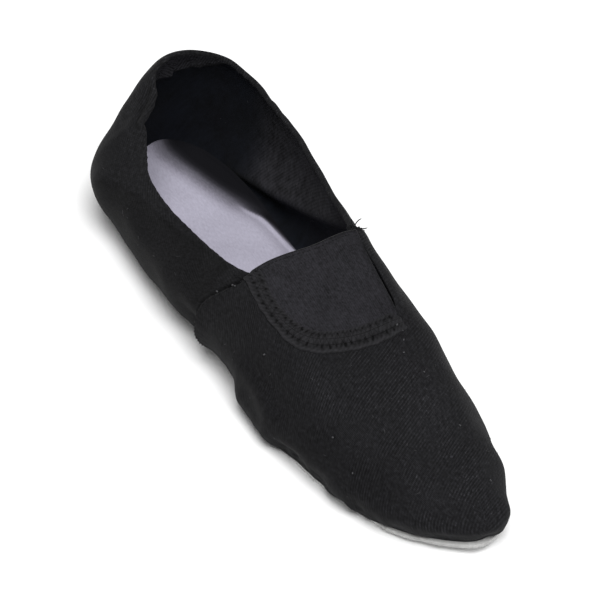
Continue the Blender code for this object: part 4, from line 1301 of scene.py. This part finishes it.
def build_lint():
    lines, radii = [], []
    faint_lines, faint_radii = [], []
    places = list(LINT)
    for _ in range(90):
        places.append((int(RNG.choice((-1, 1))), RNG.uniform(0.06, 0.96), RNG.uniform(0.15, 0.98)))
    for k, (side, s, v) in enumerate(places):
        known = k < len(LINT)
        if not known and s < GORE_BACK and v > 0.66:
            v = RNG.uniform(0.15, 0.62)
        if not known and GORE_BACK - 0.01 < s < GORE_FRONT + 0.02 and v > 0.6:
            continue
        p, n = skin(side, np.array([s]), np.array([v]), 0.0)
        p, n = p[0], n[0]
        a = unit(np.cross(n, RNG.normal(size=3)))
        b = np.cross(n, a)
        if known:
            length, radius = RNG.uniform(0.6, 1.0) * MM, RNG.uniform(0.26, 0.38) * MM
        else:
            length, radius = RNG.uniform(0.6, 1.8) * MM, RNG.uniform(0.04, 0.08) * MM
        t = np.linspace(-0.5, 0.5, 6)[:, None]
        bend = RNG.uniform(-0.5, 0.5)
        line = p + n * (0.12 * MM + 0.5 * radius) + length * (t * a + bend * (t ** 2) * b)
        (lines if known else faint_lines).append(line)
        (radii if known else faint_radii).append(radius)
    verts, faces = tubes(lines, radii, 5)
    obj = mesh_object("lint", verts, faces, None, (PALE,))
    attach(obj, "root")
    for _ in range(46):
        s, v = RNG.uniform(0.05, 0.47), RNG.uniform(0.28, 0.64)
        p, n = skin(1, np.array([s]), np.array([v]), -1.5 * MM)
        a = unit(np.cross(n[0], RNG.normal(size=3)))
        t = np.linspace(-0.5, 0.5, 4)[:, None]
        faint_lines.append(p[0] + RNG.uniform(0.4, 1.3) * MM * t * a)
        faint_radii.append(RNG.uniform(0.06, 0.12) * MM)
    verts, faces = tubes(faint_lines, faint_radii, 5)
    dust = mesh_object("dust", verts, faces, None, (DUST,))
    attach(dust, "root")
    # loose ends of the sewing thread
    lines, radii = [], []
    for side, s, v, ways in ((1, 0.506, 0.752, ((0.42, 0.90, 0.12, 5.0), (-0.2, 1.1, 0.83, 4.2), (-0.76, -0.05, 0.71, 3.2), (0.6, 0.8, -0.1, 3.0))),
                             (-1, 0.502, 0.665, ((-0.8, -0.3, 0.5, 2.6), (0.2, -0.8, 0.4, 2.2), (0.7, -0.2, 0.7, 2.0), (-0.3, 0.3, 0.9, 1.8))),
                             (-1, 0.474, 0.05, ((-0.6, -0.8, 0.1, 2.4), (0.3, -0.9, 0.2, 2.0))),
                             (1, 0.474, 0.05, ((-0.5, 0.9, 0.1, 2.4),))):
        p, n = skin(side, np.array([s]), np.array([v]), 0.0)
        for x, y, z, length in ways:
            d = unit(np.array([x, y, z]))
            c = unit(np.cross(d, RNG.normal(size=3)))
            t = np.linspace(0, 1, 9)[:, None]
            lines.append(p[0] + n[0] * 0.2 * MM + length * MM * (t * d + 0.22 * np.sin(t * 2.6) * c))
            radii.append((0.22 if v > 0.7 else 0.16) * MM)
    verts, faces = tubes(lines, radii, 5)
    loose = mesh_object("loose_threads", verts, faces, None, (THREAD,))
    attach(loose, "root")
    return obj, loose


lint, loose = build_lint()


# =====================================================================
# Insole and sole
# =====================================================================
def plate(inset, profile, ribs=220, cells=40, wave=None):
    """Plate with the sole's outline; profile(d, s, face) gives heights by edge distance."""
    s = even_stations(ribs)
    s[0], s[-1] = 0.0006, 0.9994
    left, right = sole_edge(1, s, inset(1, s)), sole_edge(-1, s, inset(-1, s))
    share = 0.5 - 0.5 * np.cos(np.pi * np.linspace(0, 1, cells + 1))
    share = 0.5 * share + 0.5 * np.linspace(0, 1, cells + 1)
    xy = left[:, None] + (right - left)[:, None] * share[None, :, None]
    ring = np.vstack([left, right[::-1]])
    flat = xy.reshape(-1, 2)
    dist = np.full(len(flat), 1e9)
    for a in range(0, len(flat), 1500):
        dist[a:a + 1500] = np.sqrt(((flat[a:a + 1500, None] - ring[None]) ** 2).sum(-1)).min(1)
    dist = dist.reshape(xy.shape[:2])
    dist[:, 0] = dist[:, -1] = 0
    dist[0] = dist[-1] = 0
    lift = sole_lift(xy[..., 0])
    top = np.dstack([xy, lift + profile(dist / MM, s[:, None], share[None], 1) * MM])
    low = np.dstack([xy, lift + profile(dist / MM, s[:, None], share[None], 0) * MM])
    return top, low, dist / MM, s, share


def build_plate(name, top, low, mat, floats, bulge):
    n = top[..., 0].size
    grid = np.arange(n).reshape(top.shape[:2])
    verts = [top.reshape(-1, 3), low.reshape(-1, 3)]
    faces = [grid_faces(grid, True), grid_faces(grid + n, False)]
    loop = np.concatenate([grid[:, 0], grid[-1, 1:], grid[-2::-1, -1], grid[0, -2:0:-1]])
    upper_line, lower_line = top.reshape(-1, 3)[loop], low.reshape(-1, 3)[loop]
    mid = (upper_line + lower_line) / 2
    half = (upper_line - lower_line) / 2
    t = np.roll(mid, -1, 0) - np.roll(mid, 1, 0)
    out = unit(np.stack([t[:, 1], -t[:, 0], np.zeros(len(t))], 1))
    centre = mid.mean(0)
    out *= np.where((out * (mid - centre)).sum(1) > 0, 1, -1)[:, None]
    ring = [loop]
    total = 2 * n
    for k in range(1, 6):
        ang = np.pi * k / 6
        verts.append(mid + half * np.cos(ang) + out * (bulge * np.sin(ang)))
        ring.append(total + np.arange(len(loop)))
        total += len(loop)
    ring.append(loop + n)
    ring = np.stack(ring, 1)
    ring = np.vstack([ring, ring[:1]])
    faces.append(grid_faces(ring, False))
    verts = np.vstack(verts)
    values = {}
    for key, v in floats.items():
        full = np.zeros(len(verts))
        full[:n] = v.ravel()
        full[2 * n:] = v.ravel()[loop].mean()
        values[key] = full
    clean, _ = tidy(np.vstack(faces))
    obj = mesh_object(name, verts, clean, None, (mat,), floats=values)
    bm_fix(obj)
    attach(obj, "root")
    return obj


def bm_fix(obj):
    import bmesh
    bm = bmesh.new()
    bm.from_mesh(obj.data)
    bmesh.ops.recalc_face_normals(bm, faces=bm.faces[:])
    bm.to_mesh(obj.data)
    bm.free()
    obj.data.polygons.foreach_set("use_smooth", np.ones(len(obj.data.polygons), bool))


def insole_profile(d, s, share, face):
    under = (SOLE_THICK + GAP) / MM
    lip = 2.6 * np.clip(1 - d / 8.0, 0, 1) ** 2 * smooth((0.5 - s) / 0.1)
    if not face:
        return under + 0.95 * lip
    groove = -0.2 * np.exp(-0.5 * ((d - 1.6) / 0.3) ** 2)
    soft = 0.18 * np.sin(s * 46 + 3 * share) * np.sin(share * 7 + s * 9) * smooth(d / 5)
    return under + 2.0 + lip + groove + soft


# Felt reaches out to the wall where it shows: station, inset (mm)
FELT_INSET = {1: ((0.0, -2.2), (0.03, -1.6), (0.06, -0.2), (0.12, 1.0), (0.2, 1.5), (1.0, 1.5)),
              -1: ((0.0, -2.2), (0.03, -3.4), (0.07, -3.4), (0.12, -1.0), (0.18, 1.2), (0.44, 1.5), (0.54, 4.6), (0.78, 4.6), (0.84, 2.2), (0.96, 1.5), (1.0, 1.5))}
HEEL_CURL = 2.5 * MM            # the loose felt stands up at the heel's outer corner
CURL_REACH = 24.0 * MM


def insole_inset(side, s):
    return np.interp(s, *np.array(FELT_INSET[side]).T) * MM


def heel_curl(p):
    back = np.clip(1 - p[..., 0] / CURL_REACH, 0, 1.2) ** 1.7
    outer = 0.3 + 0.7 * smooth((24 * MM - p[..., 1]) / (34 * MM))
    return HEEL_CURL * back * outer


top, low, dist, felt_s, _ = plate(insole_inset, insole_profile, 200, 120)
top[..., 2] += heel_curl(top)
low[..., 2] += heel_curl(low)
# Line (mm) where the pale felt turns dark towards the inner wall: painted shade of the wall and its fold, with some
# grime and lint.
FELT_SHADE_LINE = np.array(((-30.0, -14.0), (-7.4, -4.4), (-3.8, -2.6), (2.3, -1.2), (5.9, 0.7), (10.3, 2.4), (18.2, 6.0), (27.7, 9.2), (36.2, 12.3),
                  (45.5, 15.6), (52.3, 18.8), (58.8, 19.8), (71.7, 20.6), (90.0, 22.0), (125.0, 27.0)))
SOFT = ((-9.0, 0.0), (-6.5, 0.28), (-4.5, 0.52), (-2.0, 0.70), (0.0, 0.80), (2.0, 0.94), (4.0, 0.99), (6.0, 1.0))
CRISP = ((-8.0, 0.0), (-5.2, 0.12), (-3.4, 0.34), (-2.1, 0.40), (-1.5, 0.02), (-0.5, 0.02), (0.0, 0.75), (0.6, 0.97), (1.2, 1.0))


def felt_shade_and_grime(xy):
    fine = np.linspace(0, len(FELT_SHADE_LINE) - 1, 600)
    line = np.stack([np.interp(fine, np.arange(len(FELT_SHADE_LINE)), FELT_SHADE_LINE[:, k]) for k in (0, 1)], 1)
    soft = np.exp(-0.5 * (np.arange(-20, 21) / 9.0) ** 2)
    line = np.stack([np.convolve(np.pad(line[:, k], 20, mode="edge"), soft / soft.sum(), "valid") for k in (0, 1)], 1)
    along = unit(np.gradient(line, axis=0))
    flat = xy.reshape(-1, 2) / MM
    off = np.zeros(len(flat))
    for a in range(0, len(flat), 2000):
        rel = flat[a:a + 2000, None] - line[None]
        k = (rel ** 2).sum(-1).argmin(1)
        rel = rel[np.arange(len(rel)), k]
        off[a:a + 2000] = along[k, 0] * rel[:, 1] - along[k, 1] * rel[:, 0]
    share = smooth((flat[:, 0] - 38.0) / 16.0)
    tone = np.interp(off, *np.array(SOFT).T) * (1 - share) + np.interp(off, *np.array(CRISP).T) * share
    return tone.reshape(xy.shape[:2])


felt_shade_tone = felt_shade_and_grime(top[..., :2])
insole = build_plate("felt_insole", top, low, FELT, {"rim": np.clip(felt_shade_tone, 0, 1)}, 0.0)
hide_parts("insole")


def sole_profile(d, s, share, face):
    soft = 0.10 * np.sin(s * 61 + 5 * share) * np.sin(share * 9 + s * 13)
    edge = np.exp(-0.5 * (d / 0.7) ** 2)
    if face:
        return 2.0 - 0.25 * edge + 0 * soft
    return 0.0 + 0.22 * edge + 0.0 * soft


def sole_inset(side, s):
    """Cut edge: a little proud and uneven at the toe, tucked under the outer ball."""
    uneven = 0.6 * np.sin(s * 240 * 0.9 + side) * smooth((1.0 - s) / 0.02)
    proud = -0.3 * (1 + uneven) * smooth((s - 0.90) / 0.05)
    if side > 0:
        proud = proud - (0.8 + 0.4 * smooth((1.0 - s) / 0.02)) * smooth((s - 0.935) / 0.04)
    else:
        proud = proud - 0.8 * smooth((s - 0.965) / 0.035)
    tuck = 2.4 * smooth((s - 0.42) / 0.15) * smooth((0.925 - s) / 0.05) if side < 0 else 0.0
    return (proud + tuck) * MM


top, low, dist, _, _ = plate(sole_inset, sole_profile)
sole = build_plate("suede_sole", top, low, SUEDE, {}, 0.25 * MM)
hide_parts("outsole")


def build_fuzz():
    """Nap standing out along the cut edge of the suede, mostly at the toe."""
    lines, radii = [], []
    for side in (1, -1):
        for s in np.concatenate([RNG.uniform(0.90, 0.999, 420), RNG.uniform(0.0, 0.9, 160)]):
            p = sole_edge(side, np.array([s]), sole_inset(side, np.array([s])) - 0.1 * MM)[0]
            q = sole_edge(side, np.array([s]), np.array([-1.3 * MM]))[0]
            out = np.array([*(q - p), 0.0])
            out = out / np.linalg.norm(out)
            z = float(sole_lift(p[0])) + RNG.uniform(0.3, 1.8) * MM
            d = unit(out + RNG.normal(size=3) * 0.55)
            length = RNG.uniform(0.25, 0.9) * MM
            start = np.array([p[0], p[1], z])
            t = np.linspace(0, 1, 3)[:, None]
            line = start + length * t * d
            line[:, 2] = np.maximum(line[:, 2], 0.1 * MM)
            lines.append(line)
            radii.append(RNG.uniform(0.05, 0.1) * MM)
    verts, faces = tubes(lines, radii, 4)
    obj = mesh_object("suede_nap", verts, faces, None, (SUEDE,))
    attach(obj, "root")
    return obj


fuzz = build_fuzz()

# =====================================================================
# Floor, light, camera
# =====================================================================
floor_mat, nodes, links, bsdf = new_material("white_floor", (0.96, 0.96, 0.96), 0.9, Specular_IOR_Level=0.1)
mesh = bpy.data.meshes.new("floor")
r = 6.0
mesh.from_pydata([(-r, -r, -0.0003), (r, -r, -0.0003), (r, r, -0.0003), (-r, r, -0.0003)], [], [(0, 1, 2, 3)])
mesh.materials.append(floor_mat)
floor = bpy.data.objects.new("floor", mesh)
bpy.context.scene.collection.objects.link(floor)

world = bpy.data.worlds.new("studio")
bpy.context.scene.world = world
world.use_nodes = True
world.node_tree.nodes["Background"].inputs["Color"].default_value = (1, 1, 1, 1)
world.node_tree.nodes["Background"].inputs["Strength"].default_value = 0.3


def softbox(name, place_at, aim, size, power):
    lamp = bpy.data.lights.new(name, "AREA")
    lamp.shape = "SQUARE"
    lamp.size = size
    lamp.energy = power
    obj = bpy.data.objects.new(name, lamp)
    obj.location = place_at
    obj.rotation_mode = "QUATERNION"
    obj.rotation_quaternion = (Vector(aim) - Vector(place_at)).to_track_quat("-Z", "Y")
    bpy.context.scene.collection.objects.link(obj)
    return obj


softbox("key", (1.2, -0.8, 3.7), (0, 0, 0.02), 2.6, 192.0)

# The camera stands where the photograph's does, and is turned and zoomed to frame the one shoe.
EYE = np.array([682.92, -388.35, 606.69]) * MM - ORIGIN
AXES = np.array([[0.41667, 0.90462, 0.08976], [0.63483, -0.21888, -0.741], [-0.65068, 0.36573, -0.66548]])
TURN, ZOOM = (0.0700, -0.0104), 1.36
cam = bpy.data.cameras.new("camera")
cam.sensor_width = 36.0
cam.lens = ZOOM * 1736.13 * 36.0 / 600.0
cam.clip_start, cam.clip_end = 0.01, 50.0
camera = bpy.data.objects.new("camera", cam)
z = -unit(AXES[2] + TURN[0] * AXES[0] + TURN[1] * AXES[1])
x = unit(AXES[0] - (AXES[0] @ z) * z)
y = np.cross(z, x)
camera.matrix_world = Matrix(((x[0], y[0], z[0], EYE[0]), (x[1], y[1], z[1], EYE[1]), (x[2], y[2], z[2], EYE[2]), (0, 0, 0, 1)))
bpy.context.scene.collection.objects.link(camera)
bpy.context.scene.camera = camera
bpy.context.scene.view_settings.view_transform = "Standard"

bpy.context.view_layer.update()
